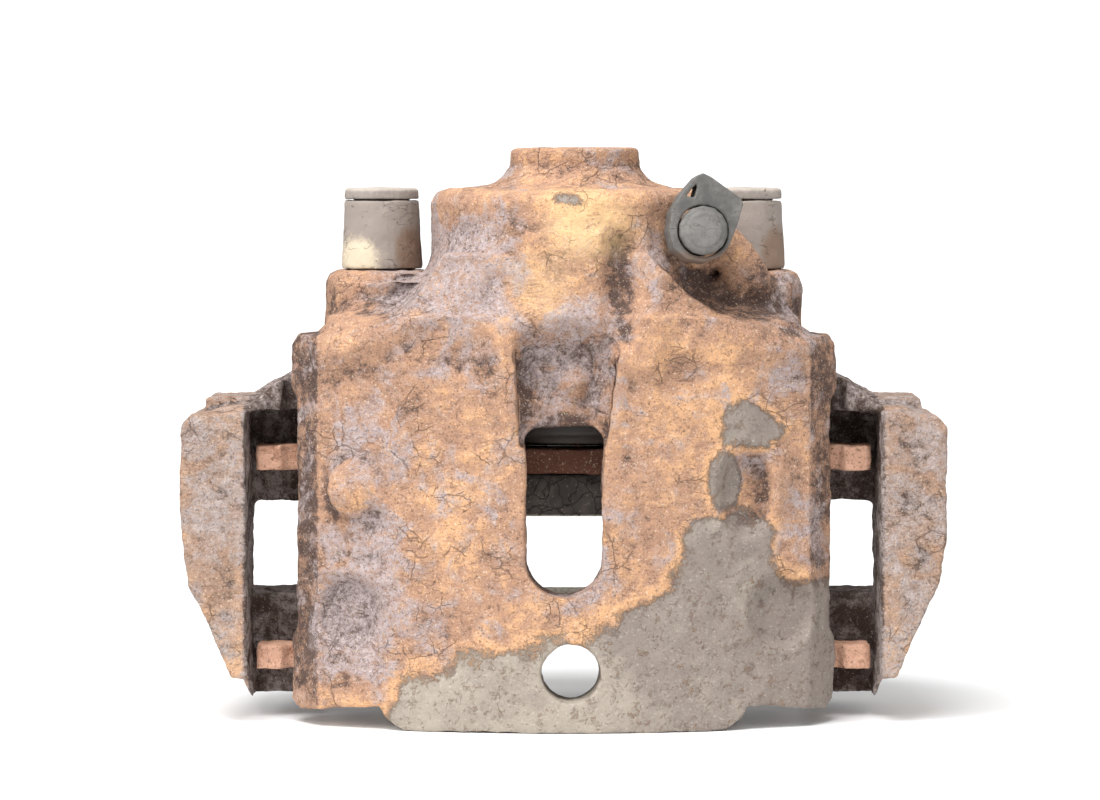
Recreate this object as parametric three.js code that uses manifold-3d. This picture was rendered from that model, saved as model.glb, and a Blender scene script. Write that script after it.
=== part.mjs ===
// Single-piston floating disc-brake caliper with its carrier and a pair of pads, in millimetres.
// Working axes: X across the caliper, Y from the bridge's crest in towards the wheel's axis,
// Z from the outboard finger face (the rest face) up to the inboard cylinder end.
// The last group shifts Y so that the origin is at the centre of the bottom of the overall box.
import * as THREE from 'three';
import { mergeVertices } from 'three/addons/utils/BufferGeometryUtils.js';
import Module from 'manifold-3d';

const wasm = await Module();
wasm.setup();

// ---- Driving dimensions --------------------------------------------------------------------

const CLEARANCE = 0.3; // gap between pieces that touch or seat on each other
const ROUND_STEPS = 36; // facets on a large round
const SMALL_STEPS = 14; // facets on a small round
const PAST = 5; // how far a cutter runs past the face it opens

// disc space
const DISC_AXIS_Y = 148;
const DISC_CLEAR_R = 135;
const DISC_SLOT_LOW = 32;
const DISC_SLOT_HIGH = 56.5;

// pads
const LINING_THICKNESS = 11.4;
const PLATE_THICKNESS = 6.8;
const SHIM_THICKNESS = 0.7;
const PAD_TOP_R = 130.5;
const PAD_HALF_WIDTH = 66;
const PAD_BOTTOM_Y = 75;
const PAD_SHOULDER_Y = 31.8;
const EAR_HALF_SPAN = 84.3;
const EAR_HEIGHT = 11.6;
const EAR_WAIST = 9;
const LINING_INSET = 2.5;
const CLIP_EYE_MARGIN = 8.8;
const PAD_NOTCH_WIDTH = 20;
const PAD_NOTCH_BOTTOM_Y = 66;
const RELIEF_WEB = 2.3; // metal left under the outer plate's relief
const LINING_RELIEF = 1.6;
const LEDGE_GAP = 1.2; // between a pad's flank and the ledge beside it

// cylinder
const BORE_X = 3;
const BORE_Y = 45;
const BORE_R = 27.3;
const BORE_TOP_Z = 130;
const BARREL_WALL = 12.2;
const BARREL_LOW_Z = 79;
const BARREL_HIGH_Z = 146;
const BARREL_CHAMFER = 3;
const SPIGOT_R = 18;
const SPIGOT_FLARE = 5;
const OVERALL_HEIGHT = 156.5;
const HOSE_PORT_R = 5;
const HOSE_PORT_DEPTH = 16;
const PISTON_WALL = 4.2;
const PISTON_HEIGHT = 47;
const PISTON_GROOVE_DEPTH = 2;
const PISTON_GROOVE_HEIGHT = 3;
const SEAL_GROOVE_Z = 96;
const SEAL_HEIGHT = 4;
const SEAL_THICKNESS = 3.4;
const BOOT_SEAT_MARGIN = 6.7;
const BOOT_SEAT_DEPTH = 5;

// bridge and fingers
const BRIDGE_CREST_R = 165;
const BRIDGE_FRONT_HALF = 66.4;
const BRIDGE_HALF_WIDTH = 74;
const BRIDGE_WAIST = 1.8;
const BRIDGE_SIDE_Y = 25;
const BRIDGE_LOW_Z = 6.4;
const BRIDGE_HIGH_Z = 106;
const APRON_HALF_WIDTH = 49;
const FINGER_GAP_WIDTH = 44;
const FINGER_GAP_TOP_Y = 14.5;
const FINGER_END_Y = 80;
const FINGER_END_HALF = 43;
const WINDOW_LOW_Z = 36.6;
const WINDOW_HIGH_Z = 81.3;
const WINDOW_WIDTH = 20.4;
const ROUND_HOLE_R = 7.8;
const ROUND_HOLE_X = 1.9;
const ROUND_HOLE_Z = 16;
const TROUGH_DEPTH = 8;
const TROUGH_TOP_Z = 108;

// guide pins, bushes and their lids
const PIN_HALF_SPACING = 50;
const PIN_Y = 43;
const PIN_R = 5;
const PIN_HEAD_R = 7;
const PIN_HEAD_LOW_Z = 127;
const PIN_HEAD_HEIGHT = 8;
const PIN_HEX_R = 4;
const PIN_HEX_DEPTH = 5;
const PIN_LOW_Z = 86;
const LUG_R = 15.8;
const LUG_ROUNDING = 4;
const LUG_LOW_Z = 106;
const LUG_HIGH_Z = 123;
const LUG_HOLE_R = 9;
const BUSH_TOP_R = 10.2;
const BUSH_BASE_R = 11.2;
const BUSH_LOW_Z = 100;
const LID_SEAM_Z = 142;
const LID_THICKNESS = 3.4;
const BUSH_CAVITY_R = 7.7;
const BUSH_CAVITY_LOW_Z = 118;
const LID_PLUG_DEPTH = 2.6;

// carrier
const CARRIER_HALF_WIDTH = 104;
const CARRIER_BACK_Y = 100;
const ARM_FRONT_Y = 19;
const ARM_BACK_Y = 50;
const ARM_INNER_X = 86;
const ARM_TOP_Z = 84;
const ARM_LOW_Z = 12;
const LEDGE_FRONT_Y = 45;
const LEDGE_BACK_Y = 74;
const OUTER_LEDGE_LOW_Z = 5.5;
const OUTER_LEDGE_HIGH_Z = 33;
const INNER_LEDGE_LOW_Z = 59;
const FRAME_FRONT_Y = 33.5;
const FRAME_LOW_Z = 84.6;
const FRAME_HIGH_Z = 95;
const PIN_BOSS_R = 11;
const MOUNT_HALF_SPACING = 62;
const MOUNT_Y = 88;
const MOUNT_LUG_R = 12;
const MOUNT_HOLE_R = 6.25;
const MOUNT_LOW_Z = 62;
const MOUNT_HIGH_Z = 80;
const TIE_BAR_FRONT_Y = 86.5;
const TIE_BAR_HIGH_Z = 76;

// bleed screw
const BLEED_X = 35;
const BLEED_SETBACK = 12;
const BLEED_Z = 132.5;
const BLEED_YAW = THREE.MathUtils.degToRad(9);
const BLEED_RISE = THREE.MathUtils.degToRad(7);
const BLEED_BOSS_R = 9;
const BLEED_THREAD_R = 4;
const BLEED_HEX_R = 5.5;
const BLEED_HEX_HEIGHT = 4;
const BLEED_NIPPLE_R = 3.2;
const BLEED_NIPPLE_LENGTH = 10;
const BLEED_SCREW_DEPTH = 11;
const CAP_SKIRT_R = 6.2;
const CAP_HEAD_R = 6.5;
const CAP_LENGTH = 11.2;
const STRAP_WIDTH = 8;
const STRAP_PEAK = 15.4;

// ---- Values worked out from the driving dimensions -------------------------------------------

const OUTER_LINING_LOW = DISC_SLOT_LOW - LINING_THICKNESS;
const OUTER_PLATE_HIGH = OUTER_LINING_LOW - CLEARANCE;
const OUTER_PLATE_LOW = OUTER_PLATE_HIGH - PLATE_THICKNESS;
const FINGER_FACE_Z = OUTER_PLATE_LOW - CLEARANCE;
const INNER_LINING_HIGH = DISC_SLOT_HIGH + LINING_THICKNESS;
const INNER_PLATE_LOW = INNER_LINING_HIGH + CLEARANCE;
const INNER_PLATE_HIGH = INNER_PLATE_LOW + PLATE_THICKNESS;
const INNER_SHIM_LOW = INNER_PLATE_HIGH + CLEARANCE;
const PISTON_LOW_Z = INNER_SHIM_LOW + SHIM_THICKNESS + CLEARANCE;
const PISTON_HIGH_Z = PISTON_LOW_Z + PISTON_HEIGHT;
const PISTON_R = BORE_R - CLEARANCE;
const BARREL_R = BORE_R + BARREL_WALL;
const BOOT_SEAT_R = BORE_R + BOOT_SEAT_MARGIN;
const CLIP_EYE_R = BORE_R - CLIP_EYE_MARGIN;
const BLEED_Y = BORE_Y - BARREL_R + BLEED_SETBACK;
const PIN_BORE_R = PIN_R + CLEARANCE;
const LID_TOP_Z = LID_SEAM_Z + CLEARANCE + LID_THICKNESS;
const FAR = 400;
const FRONT = -Math.PI / 2; // direction of the bridge's crest from the wheel's axis

// ---- Solid helpers ---------------------------------------------------------------------------

function signedVolume(positions, index) {
  const a = new THREE.Vector3();
  const b = new THREE.Vector3();
  const c = new THREE.Vector3();
  let volume = 0;
  for (let i = 0; i < index.length; i += 3) {
    a.fromArray(positions, index[i] * 3);
    b.fromArray(positions, index[i + 1] * 3);
    c.fromArray(positions, index[i + 2] * 3);
    volume += a.dot(b.cross(c)) / 6;
  }
  return volume;
}

// a closed three.js geometry becomes a solid, with its faces turned outwards
function toSolid(geometry) {
  const bare = geometry.clone();
  bare.deleteAttribute('normal');
  bare.deleteAttribute('uv');
  const merged = mergeVertices(bare, 1e-4);
  const vertProperties = new Float32Array(merged.attributes.position.array);
  const triVerts = new Uint32Array(merged.index.array);
  if (signedVolume(vertProperties, triVerts) < 0) {
    for (let i = 0; i < triVerts.length; i += 3) {
      const swapped = triVerts[i];
      triVerts[i] = triVerts[i + 1];
      triVerts[i + 1] = swapped;
    }
  }
  return new wasm.Manifold(new wasm.Mesh({ numProp: 3, vertProperties, triVerts }));
}

function toGeometry(solid) {
  const mesh = solid.getMesh();
  const geometry = new THREE.BufferGeometry();
  geometry.setAttribute('position', new THREE.BufferAttribute(new Float32Array(mesh.vertProperties), 3));
  geometry.setIndex(new THREE.BufferAttribute(new Uint32Array(mesh.triVerts), 1));
  geometry.computeVertexNormals();
  return geometry;
}

const join = (solids) => solids.reduce((whole, next) => whole.add(next));
const cut = (body, cutters) => cutters.reduce((rest, next) => rest.subtract(next), body);

function polygon(points) {
  return new THREE.Shape(points.map(([x, y]) => new THREE.Vector2(x, y)));
}

// an XY outline raised along Z
function prism(shape, low, high, steps = SMALL_STEPS) {
  const settings = { depth: high - low, bevelEnabled: false, curveSegments: steps };
  const geometry = new THREE.ExtrudeGeometry(shape, settings);
  return toSolid(geometry.translate(0, 0, low));
}

// an XZ outline carried along Y
function frontPrism(shape, nearY, farY, steps = SMALL_STEPS) {
  const settings = { depth: farY - nearY, bevelEnabled: false, curveSegments: steps };
  const geometry = new THREE.ExtrudeGeometry(shape, settings);
  return toSolid(geometry.rotateX(Math.PI / 2).translate(0, farY, 0));
}

function block(low, high) {
  const size = high.map((value, i) => value - low[i]);
  const centre = high.map((value, i) => (value + low[i]) / 2);
  return toSolid(new THREE.BoxGeometry(...size).translate(...centre));
}

function post(x, y, radius, low, high, steps = ROUND_STEPS, topRadius = radius) {
  const geometry = new THREE.CylinderGeometry(topRadius, radius, high - low, steps);
  return toSolid(geometry.rotateX(Math.PI / 2).translate(x, y, (low + high) / 2));
}

// a [radius, z] profile turned about the Z axis through (x, y)
function turned(profile, x, y, steps = ROUND_STEPS) {
  const points = profile.map(([radius, z]) => new THREE.Vector2(radius, z));
  return toSolid(new THREE.LatheGeometry(points, steps).rotateX(Math.PI / 2).translate(x, y, 0));
}

function mirrored(makeSide) {
  return join([makeSide(-1), makeSide(1)]);
}

// outline given for the right-hand side, flipped for the left
function sided(side, points) {
  return polygon(points.map(([x, y]) => [side * x, y]));
}

// where a disc-centred arc of this radius stands at a given x
const arcY = (radius, x) => DISC_AXIS_Y - Math.sqrt(radius * radius - x * x);
const crestY = (x) => BRIDGE_CREST_R - Math.sqrt(BRIDGE_CREST_R * BRIDGE_CREST_R - x * x);

// ---- Housing: bridge, fingers and cylinder in one casting --------------------------------------

// the curved wall over the disc, seen along Z
function bridgeSection() {
  const inner = BRIDGE_FRONT_HALF;
  const crestAngle = Math.asin(BRIDGE_FRONT_HALF / BRIDGE_CREST_R);
  const innerAngle = Math.asin(inner / DISC_CLEAR_R);
  const shape = new THREE.Shape();
  shape.absarc(0, BRIDGE_CREST_R, BRIDGE_CREST_R, FRONT - crestAngle, FRONT + crestAngle, false);
  shape.lineTo(BRIDGE_HALF_WIDTH, BRIDGE_SIDE_Y);
  shape.lineTo(BRIDGE_HALF_WIDTH - 1, BRIDGE_SIDE_Y + 6);
  shape.absarc(0, DISC_AXIS_Y, DISC_CLEAR_R, FRONT + innerAngle, FRONT - innerAngle, true);
  shape.lineTo(1 - BRIDGE_HALF_WIDTH, BRIDGE_SIDE_Y + 6);
  shape.lineTo(-BRIDGE_HALF_WIDTH, BRIDGE_SIDE_Y);
  return shape;
}

// the bridge's outline seen from the crest: waisted sides and the narrower apron at the bottom
function bridgeOutline() {
  const wide = BRIDGE_HALF_WIDTH;
  const waist = BRIDGE_HALF_WIDTH - BRIDGE_WAIST;
  const half = [
    [APRON_HALF_WIDTH - 6, 0],
    [APRON_HALF_WIDTH - 1.2, 3.2],
    [APRON_HALF_WIDTH, BRIDGE_LOW_Z],
    [wide - 9, BRIDGE_LOW_Z - 1.5],
    [wide - 3, BRIDGE_LOW_Z - 2.6],
    [wide, BRIDGE_LOW_Z],
    [wide, 23],
    [waist, 26],
    [waist, 88],
    [wide, 91],
    [wide, BRIDGE_HIGH_Z - 3],
    [wide - 2.5, BRIDGE_HIGH_Z],
    [60, BRIDGE_HIGH_Z + 1],
    [44, BRIDGE_HIGH_Z + 6],
  ];
  const left = half.map(([x, z]) => [-x, z]).reverse();
  return polygon([...half, ...left]);
}

function makeBridge() {
  const wall = prism(bridgeSection(), 0, BRIDGE_HIGH_Z + 10, ROUND_STEPS);
  return wall.intersect(frontPrism(bridgeOutline(), -PAST, BRIDGE_HALF_WIDTH));
}

// two fingers reaching down behind the outer pad, with an arched gap between them
function makeFingers() {
  const frontAngle = Math.asin(APRON_HALF_WIDTH / BRIDGE_CREST_R);
  const plate = new THREE.Shape();
  plate.absarc(0, BRIDGE_CREST_R, BRIDGE_CREST_R, FRONT - frontAngle, FRONT + frontAngle, false);
  plate.lineTo(APRON_HALF_WIDTH, 45);
  plate.lineTo(FINGER_END_HALF, FINGER_END_Y - 8);
  plate.lineTo(FINGER_END_HALF - 6, FINGER_END_Y);
  plate.lineTo(6 - FINGER_END_HALF, FINGER_END_Y);
  plate.lineTo(-FINGER_END_HALF, FINGER_END_Y - 8);
  plate.lineTo(-APRON_HALF_WIDTH, 45);
  const gapHalf = FINGER_GAP_WIDTH / 2;
  const gap = new THREE.Shape();
  gap.moveTo(-gapHalf, FINGER_END_Y + PAST);
  gap.lineTo(-gapHalf, FINGER_GAP_TOP_Y + gapHalf);
  gap.absarc(0, FINGER_GAP_TOP_Y + gapHalf, gapHalf, Math.PI, 2 * Math.PI, false);
  gap.lineTo(gapHalf, FINGER_END_Y + PAST);
  const apronCorners = frontPrism(polygon([
    [6 - APRON_HALF_WIDTH, 0],
    [APRON_HALF_WIDTH - 6, 0],
    [APRON_HALF_WIDTH, 6],
    [APRON_HALF_WIDTH, FINGER_FACE_Z],
    [-APRON_HALF_WIDTH, FINGER_FACE_Z],
    [-APRON_HALF_WIDTH, 6],
  ]), -PAST, FINGER_END_Y + PAST);
  const cutGap = prism(gap, -PAST, FINGER_FACE_Z + PAST);
  return prism(plate, 0, FINGER_FACE_Z).intersect(apronCorners).subtract(cutGap);
}

// the closed cylinder with the spigot for the brake hose on its end
function makeBarrel() {
  const top = BARREL_HIGH_Z;
  return turned([
    [0, BARREL_LOW_Z],
    [BARREL_R - 1.5, BARREL_LOW_Z],
    [BARREL_R, BARREL_LOW_Z + 1.5],
    [BARREL_R, top - 1.5 * BARREL_CHAMFER],
    [BARREL_R - BARREL_CHAMFER * 0.3, top - BARREL_CHAMFER * 0.8],
    [BARREL_R - BARREL_CHAMFER, top - BARREL_CHAMFER * 0.4],
    [SPIGOT_R + SPIGOT_FLARE, top],
    [SPIGOT_R + SPIGOT_FLARE * 0.35, top + SPIGOT_FLARE * 0.45],
    [SPIGOT_R, top + SPIGOT_FLARE],
    [SPIGOT_R, OVERALL_HEIGHT - 0.8],
    [SPIGOT_R - 0.8, OVERALL_HEIGHT],
    [0, OVERALL_HEIGHT],
  ], BORE_X, BORE_Y);
}

// metal that carries the cylinder into the bridge: a saddle under its front half
function makeSaddle() {
  const saddle = polygon([
    [-44, 10],
    [-20, BORE_Y - BARREL_R + 2],
    [22, BORE_Y - BARREL_R + 2],
    [46, 10],
    [44, 34],
    [30, 60],
    [-24, 60],
    [-40, 34],
  ]);
  const slope = frontPrism(polygon([
    [-58, 84],
    [60, 84],
    [58, 104],
    [46, 109],
    [34, 117],
    [22, 128],
    [-32, 128],
    [-40, 116],
    [-55, 104],
  ]), -PAST, FAR);
  const body = prism(saddle, FRAME_LOW_Z, 128).intersect(slope);
  const pad = block([BORE_X - 14, BORE_Y - BARREL_R - 1.4, 107], [BORE_X + 8, BORE_Y, 134]);
  return body.add(pad);
}

// an ear on each side of the cylinder holds a guide bush
function makeLug(side) {
  const round = turned([
    [0, LUG_LOW_Z],
    [LUG_R, LUG_LOW_Z],
    [LUG_R, LUG_HIGH_Z - LUG_ROUNDING],
    [LUG_R - LUG_ROUNDING * 0.3, LUG_HIGH_Z - LUG_ROUNDING * 0.3],
    [LUG_R - LUG_ROUNDING, LUG_HIGH_Z],
    [0, LUG_HIGH_Z],
  ], side * PIN_HALF_SPACING, PIN_Y);
  const web = prism(sided(side, [
    [20, 18],
    [52, 25],
    [62, 30],
    [64, 43],
    [58, 56],
    [26, 70],
  ]), LUG_LOW_Z, LUG_HIGH_Z - 3);
  const foot = prism(sided(side, [
    [30, 9],
    [66, 13.5],
    [70, 24],
    [64, 36],
    [44, 36],
    [30, 30],
  ]), BRIDGE_HIGH_Z - 8, BRIDGE_HIGH_Z + 5);
  const brow = frontPrism(sided(side, [
    [18, BRIDGE_HIGH_Z - 8],
    [66, BRIDGE_HIGH_Z - 8],
    [64, LUG_LOW_Z + 4],
    [54, LUG_HIGH_Z],
    [18, LUG_HIGH_Z + 4],
  ]), -PAST, FAR);
  return join([round, web, foot.intersect(brow)]);
}

// directions for the bleed screw: it leans out, up and to the right of straight ahead
function placeOnBleedAxis(geometry) {
  return geometry
    .rotateX(Math.PI / 2 - BLEED_RISE)
    .rotateZ(BLEED_YAW)
    .translate(BLEED_X, BLEED_Y, BLEED_Z);
}

// a [radius, distance] profile turned about the bleed axis; distance runs out of the boss
function turnedOnBleedAxis(profile, steps = SMALL_STEPS) {
  const points = profile.map(([radius, along]) => new THREE.Vector2(radius, along));
  const geometry = new THREE.LatheGeometry(points, steps).rotateX(Math.PI / 2);
  return toSolid(placeOnBleedAxis(geometry));
}

function makeBleedBoss() {
  return turnedOnBleedAxis([
    [0, -22],
    [BLEED_BOSS_R + 3, -22],
    [BLEED_BOSS_R + 2, -8],
    [BLEED_BOSS_R, -1],
    [BLEED_BOSS_R - 1, 0],
    [0, 0],
  ]);
}

function housingCuts() {
  const bore = turned([
    [0, BARREL_LOW_Z - PAST],
    [BOOT_SEAT_R, BARREL_LOW_Z - PAST],
    [BOOT_SEAT_R, BARREL_LOW_Z + BOOT_SEAT_DEPTH],
    [BORE_R, BARREL_LOW_Z + BOOT_SEAT_DEPTH],
    [BORE_R, SEAL_GROOVE_Z - CLEARANCE],
    [BORE_R + SEAL_THICKNESS, SEAL_GROOVE_Z - CLEARANCE],
    [BORE_R + SEAL_THICKNESS, SEAL_GROOVE_Z + SEAL_HEIGHT + CLEARANCE],
    [BORE_R, SEAL_GROOVE_Z + SEAL_HEIGHT + CLEARANCE],
    [BORE_R, BORE_TOP_Z],
    [0, BORE_TOP_Z],
  ], BORE_X, BORE_Y);
  const portLow = OVERALL_HEIGHT - HOSE_PORT_DEPTH;
  const hosePort = post(BORE_X, BORE_Y, HOSE_PORT_R, portLow, OVERALL_HEIGHT + PAST, SMALL_STEPS);
  const hosePassage = post(BORE_X, BORE_Y, HOSE_PORT_R / 2, BORE_TOP_Z - PAST, OVERALL_HEIGHT, SMALL_STEPS);
  const bleedSocket = turnedOnBleedAxis([
    [0, -BLEED_SCREW_DEPTH - 1],
    [BLEED_THREAD_R + CLEARANCE, -BLEED_SCREW_DEPTH - 1],
    [BLEED_THREAD_R + CLEARANCE, 0],
    [BLEED_HEX_R + 1, 0],
    [BLEED_HEX_R + 1, BLEED_NIPPLE_LENGTH],
    [0, BLEED_NIPPLE_LENGTH],
  ]);
  const start = new THREE.Vector3(0, 0, -BLEED_SCREW_DEPTH);
  const drill = new THREE.CylinderGeometry(1.6, 1.6, 1, SMALL_STEPS).translate(0, 0.5, 0);
  const from = new THREE.BufferGeometry().setFromPoints([start]);
  placeOnBleedAxis(from);
  const mouth = new THREE.Vector3().fromBufferAttribute(from.attributes.position, 0);
  const target = new THREE.Vector3(BORE_X, BORE_Y, BORE_TOP_Z - 4);
  const run = target.clone().sub(mouth);
  drill.scale(1, run.length(), 1);
  const turn = new THREE.Quaternion().setFromUnitVectors(new THREE.Vector3(0, 1, 0), run.normalize());
  drill.applyQuaternion(turn);
  drill.translate(mouth.x, mouth.y, mouth.z);
  return [bore, hosePort, hosePassage, bleedSocket, toSolid(drill), ...bridgeCuts(), ...lugCuts()];
}

function bridgeCuts() {
  const half = WINDOW_WIDTH / 2;
  const windowShape = new THREE.Shape();
  windowShape.absarc(0, WINDOW_LOW_Z + half, half, Math.PI, 2 * Math.PI, false);
  windowShape.lineTo(half, WINDOW_HIGH_Z - 2);
  windowShape.lineTo(half - 2, WINDOW_HIGH_Z);
  windowShape.lineTo(2 - half, WINDOW_HIGH_Z);
  windowShape.lineTo(-half, WINDOW_HIGH_Z - 2);
  const hole = new THREE.Shape();
  hole.absarc(ROUND_HOLE_X, ROUND_HOLE_Z, ROUND_HOLE_R, 0, 2 * Math.PI, false);
  const holeReach = FINGER_GAP_TOP_Y + ROUND_HOLE_R;
  const trough = frontPrism(polygon([
    [-half - 1.5, WINDOW_HIGH_Z - PAST],
    [half + 1, WINDOW_HIGH_Z - PAST],
    [half + 5, TROUGH_TOP_Z - 4],
    [half, TROUGH_TOP_Z],
    [-half, TROUGH_TOP_Z],
    [-half - 3, TROUGH_TOP_Z - 3],
  ]), -PAST, TROUGH_DEPTH);
  return [
    frontPrism(windowShape, -PAST, arcY(DISC_CLEAR_R, half) + PAST),
    frontPrism(hole, -PAST, holeReach),
    trough,
  ];
}

function lugCuts() {
  const cuts = [];
  for (const side of [-1, 1]) {
    const x = side * PIN_HALF_SPACING;
    cuts.push(post(x, PIN_Y, LUG_HOLE_R, LUG_LOW_Z - PAST, LUG_HIGH_Z + PAST));
    // room for the carrier's pin boss as the housing slides down over it
    cuts.push(post(x, PIN_Y, PIN_BOSS_R + 2, BARREL_LOW_Z - PAST, LUG_LOW_Z));
    // flat seat under the bush's shoulder
    cuts.push(post(x, PIN_Y, BUSH_BASE_R + 1.5, LUG_HIGH_Z, LUG_HIGH_Z + 40));
  }
  return cuts;
}

// hump of metal that stands up in front of the right bush, beside the bleed boss
function makeBushGuard() {
  return frontPrism(polygon([
    [43, LUG_HIGH_Z - 6],
    [57, LUG_HIGH_Z - 6],
    [56, LUG_HIGH_Z + 1],
    [50, LUG_HIGH_Z + 9],
    [46, LUG_HIGH_Z + 13],
    [43, LUG_HIGH_Z + 13],
  ]), 19, 29);
}

function makeHousing() {
  const raisedSpot = turned([[0, -7.5], [7.5, -6], [7.5, 6], [0, 7.5]], 0, 0);
  const spot = raisedSpot.rotate([90, 0, 0]).translate([-55.6, crestY(55.6) + 5, 65]);
  const body = join([
    makeBridge(),
    makeFingers(),
    makeBarrel(),
    makeSaddle(),
    makeLug(-1),
    makeLug(1),
    makeBleedBoss(),
    makeBushGuard(),
    spot,
  ]);
  return cut(body, housingCuts());
}

// ---- Piston and its rubber -------------------------------------------------------------------

function makePiston() {
  const grooveLow = PISTON_LOW_Z + 3;
  const cupR = PISTON_R - PISTON_WALL;
  return turned([
    [0, PISTON_HIGH_Z - 7],
    [cupR - 2, PISTON_HIGH_Z - 7],
    [cupR, PISTON_HIGH_Z - 9],
    [cupR, PISTON_LOW_Z],
    [PISTON_R - 0.6, PISTON_LOW_Z],
    [PISTON_R, PISTON_LOW_Z + 0.6],
    [PISTON_R, grooveLow],
    [PISTON_R - PISTON_GROOVE_DEPTH, grooveLow],
    [PISTON_R - PISTON_GROOVE_DEPTH, grooveLow + PISTON_GROOVE_HEIGHT],
    [PISTON_R, grooveLow + PISTON_GROOVE_HEIGHT],
    [PISTON_R, PISTON_HIGH_Z - 1.5],
    [PISTON_R - 1.5, PISTON_HIGH_Z],
    [0, PISTON_HIGH_Z],
  ], BORE_X, BORE_Y);
}

function makePistonSeal() {
  const inner = BORE_R;
  const outer = BORE_R + SEAL_THICKNESS - CLEARANCE;
  return turned([
    [inner, SEAL_GROOVE_Z],
    [outer, SEAL_GROOVE_Z],
    [outer, SEAL_GROOVE_Z + SEAL_HEIGHT],
    [inner, SEAL_GROOVE_Z + SEAL_HEIGHT],
    [inner, SEAL_GROOVE_Z],
  ], BORE_X, BORE_Y);
}

// bellows between the counterbore and the piston's groove
function makeDustBoot() {
  const seatR = BOOT_SEAT_R - CLEARANCE;
  const seatTop = BARREL_LOW_Z + BOOT_SEAT_DEPTH - CLEARANCE;
  const lipZ = PISTON_LOW_Z + 3 + CLEARANCE;
  const lipR = PISTON_R - PISTON_GROOVE_DEPTH + CLEARANCE;
  return turned([
    [seatR - 2.5, seatTop],
    [seatR, seatTop],
    [seatR, BARREL_LOW_Z + 0.5],
    [seatR - 2, BARREL_LOW_Z - 0.8],
    [seatR - 3.4, BARREL_LOW_Z + 1.6],
    [lipR + 4, BARREL_LOW_Z - 0.6],
    [lipR + 2.6, lipZ],
    [lipR, lipZ],
    [lipR, lipZ + 1.4],
    [lipR + 2, lipZ + 1.4],
    [lipR + 3.4, BARREL_LOW_Z + 2.6],
    [seatR - 2.5, BARREL_LOW_Z + 3.4],
    [seatR - 2.5, seatTop],
  ], BORE_X, BORE_Y);
}

// ---- Pads --------------------------------------------------------------------------------------

// the arched top edge of a pad, with the outer pad's notch behind the bridge's round hole
function padTopEdge(radius, halfWidth, notched) {
  const shape = new THREE.Shape();
  const endAngle = Math.asin(halfWidth / radius);
  if (!notched) {
    return shape.absarc(0, DISC_AXIS_Y, radius, FRONT - endAngle, FRONT + endAngle, false);
  }
  const notchHalf = PAD_NOTCH_WIDTH / 2;
  const notchLeft = Math.asin((ROUND_HOLE_X - notchHalf) / radius);
  const notchRight = Math.asin((ROUND_HOLE_X + notchHalf) / radius);
  shape.absarc(0, DISC_AXIS_Y, radius, FRONT - endAngle, FRONT + notchLeft, false);
  shape.absarc(ROUND_HOLE_X, PAD_NOTCH_BOTTOM_Y - notchHalf, notchHalf, Math.PI, 0, true);
  shape.absarc(0, DISC_AXIS_Y, radius, FRONT + notchRight, FRONT + endAngle, false);
  return shape;
}

function plateShape(notched) {
  const earTop = PAD_SHOULDER_Y;
  const earBottom = PAD_SHOULDER_Y + EAR_HEIGHT;
  const shape = padTopEdge(PAD_TOP_R, PAD_HALF_WIDTH - 8, notched);
  const rightSide = [
    [PAD_HALF_WIDTH, earTop + 2],
    [EAR_HALF_SPAN - EAR_WAIST, earTop + 2.6],
    [EAR_HALF_SPAN - EAR_WAIST + 2, earTop],
    [EAR_HALF_SPAN - 1, earTop],
    [EAR_HALF_SPAN, earTop + 1],
    [EAR_HALF_SPAN, earBottom - 1],
    [EAR_HALF_SPAN - 1, earBottom],
    [PAD_HALF_WIDTH, earBottom],
    [PAD_HALF_WIDTH, PAD_BOTTOM_Y - 8],
    [PAD_HALF_WIDTH - 8, PAD_BOTTOM_Y],
  ];
  const leftSide = rightSide.map(([x, y]) => [-x, y]).reverse();
  for (const [x, y] of [...rightSide, ...leftSide]) {
    shape.lineTo(x, y);
  }
  return shape;
}

function makePlate(low, notched) {
  return prism(plateShape(notched), low, low + PLATE_THICKNESS);
}

function liningShape(inset) {
  const half = PAD_HALF_WIDTH - inset;
  const shape = padTopEdge(PAD_TOP_R - inset, half - 6, false);
  shape.lineTo(half, PAD_SHOULDER_Y + 6);
  shape.lineTo(half, PAD_BOTTOM_Y - 9);
  shape.lineTo(half - 8, PAD_BOTTOM_Y - 1.5);
  shape.lineTo(8 - half, PAD_BOTTOM_Y - 1.5);
  shape.lineTo(-half, PAD_BOTTOM_Y - 9);
  shape.lineTo(-half, PAD_SHOULDER_Y + 6);
  return shape;
}

function makeLining(low) {
  return prism(liningShape(LINING_INSET), low, low + LINING_THICKNESS);
}

// room across a pad's finger side, so that the round hole looks right through below it
function padRelief(low, high) {
  const half = PAD_NOTCH_WIDTH / 2;
  return block([ROUND_HOLE_X - half, 0, low - PAST], [ROUND_HOLE_X + half, PAD_BOTTOM_Y + PAST, high]);
}

function makeShim(low) {
  const slab = prism(liningShape(LINING_INSET + 2), low, low + SHIM_THICKNESS);
  return slab.subtract(post(BORE_X, BORE_Y, CLIP_EYE_R, low - PAST, low + PAST));
}

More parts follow.
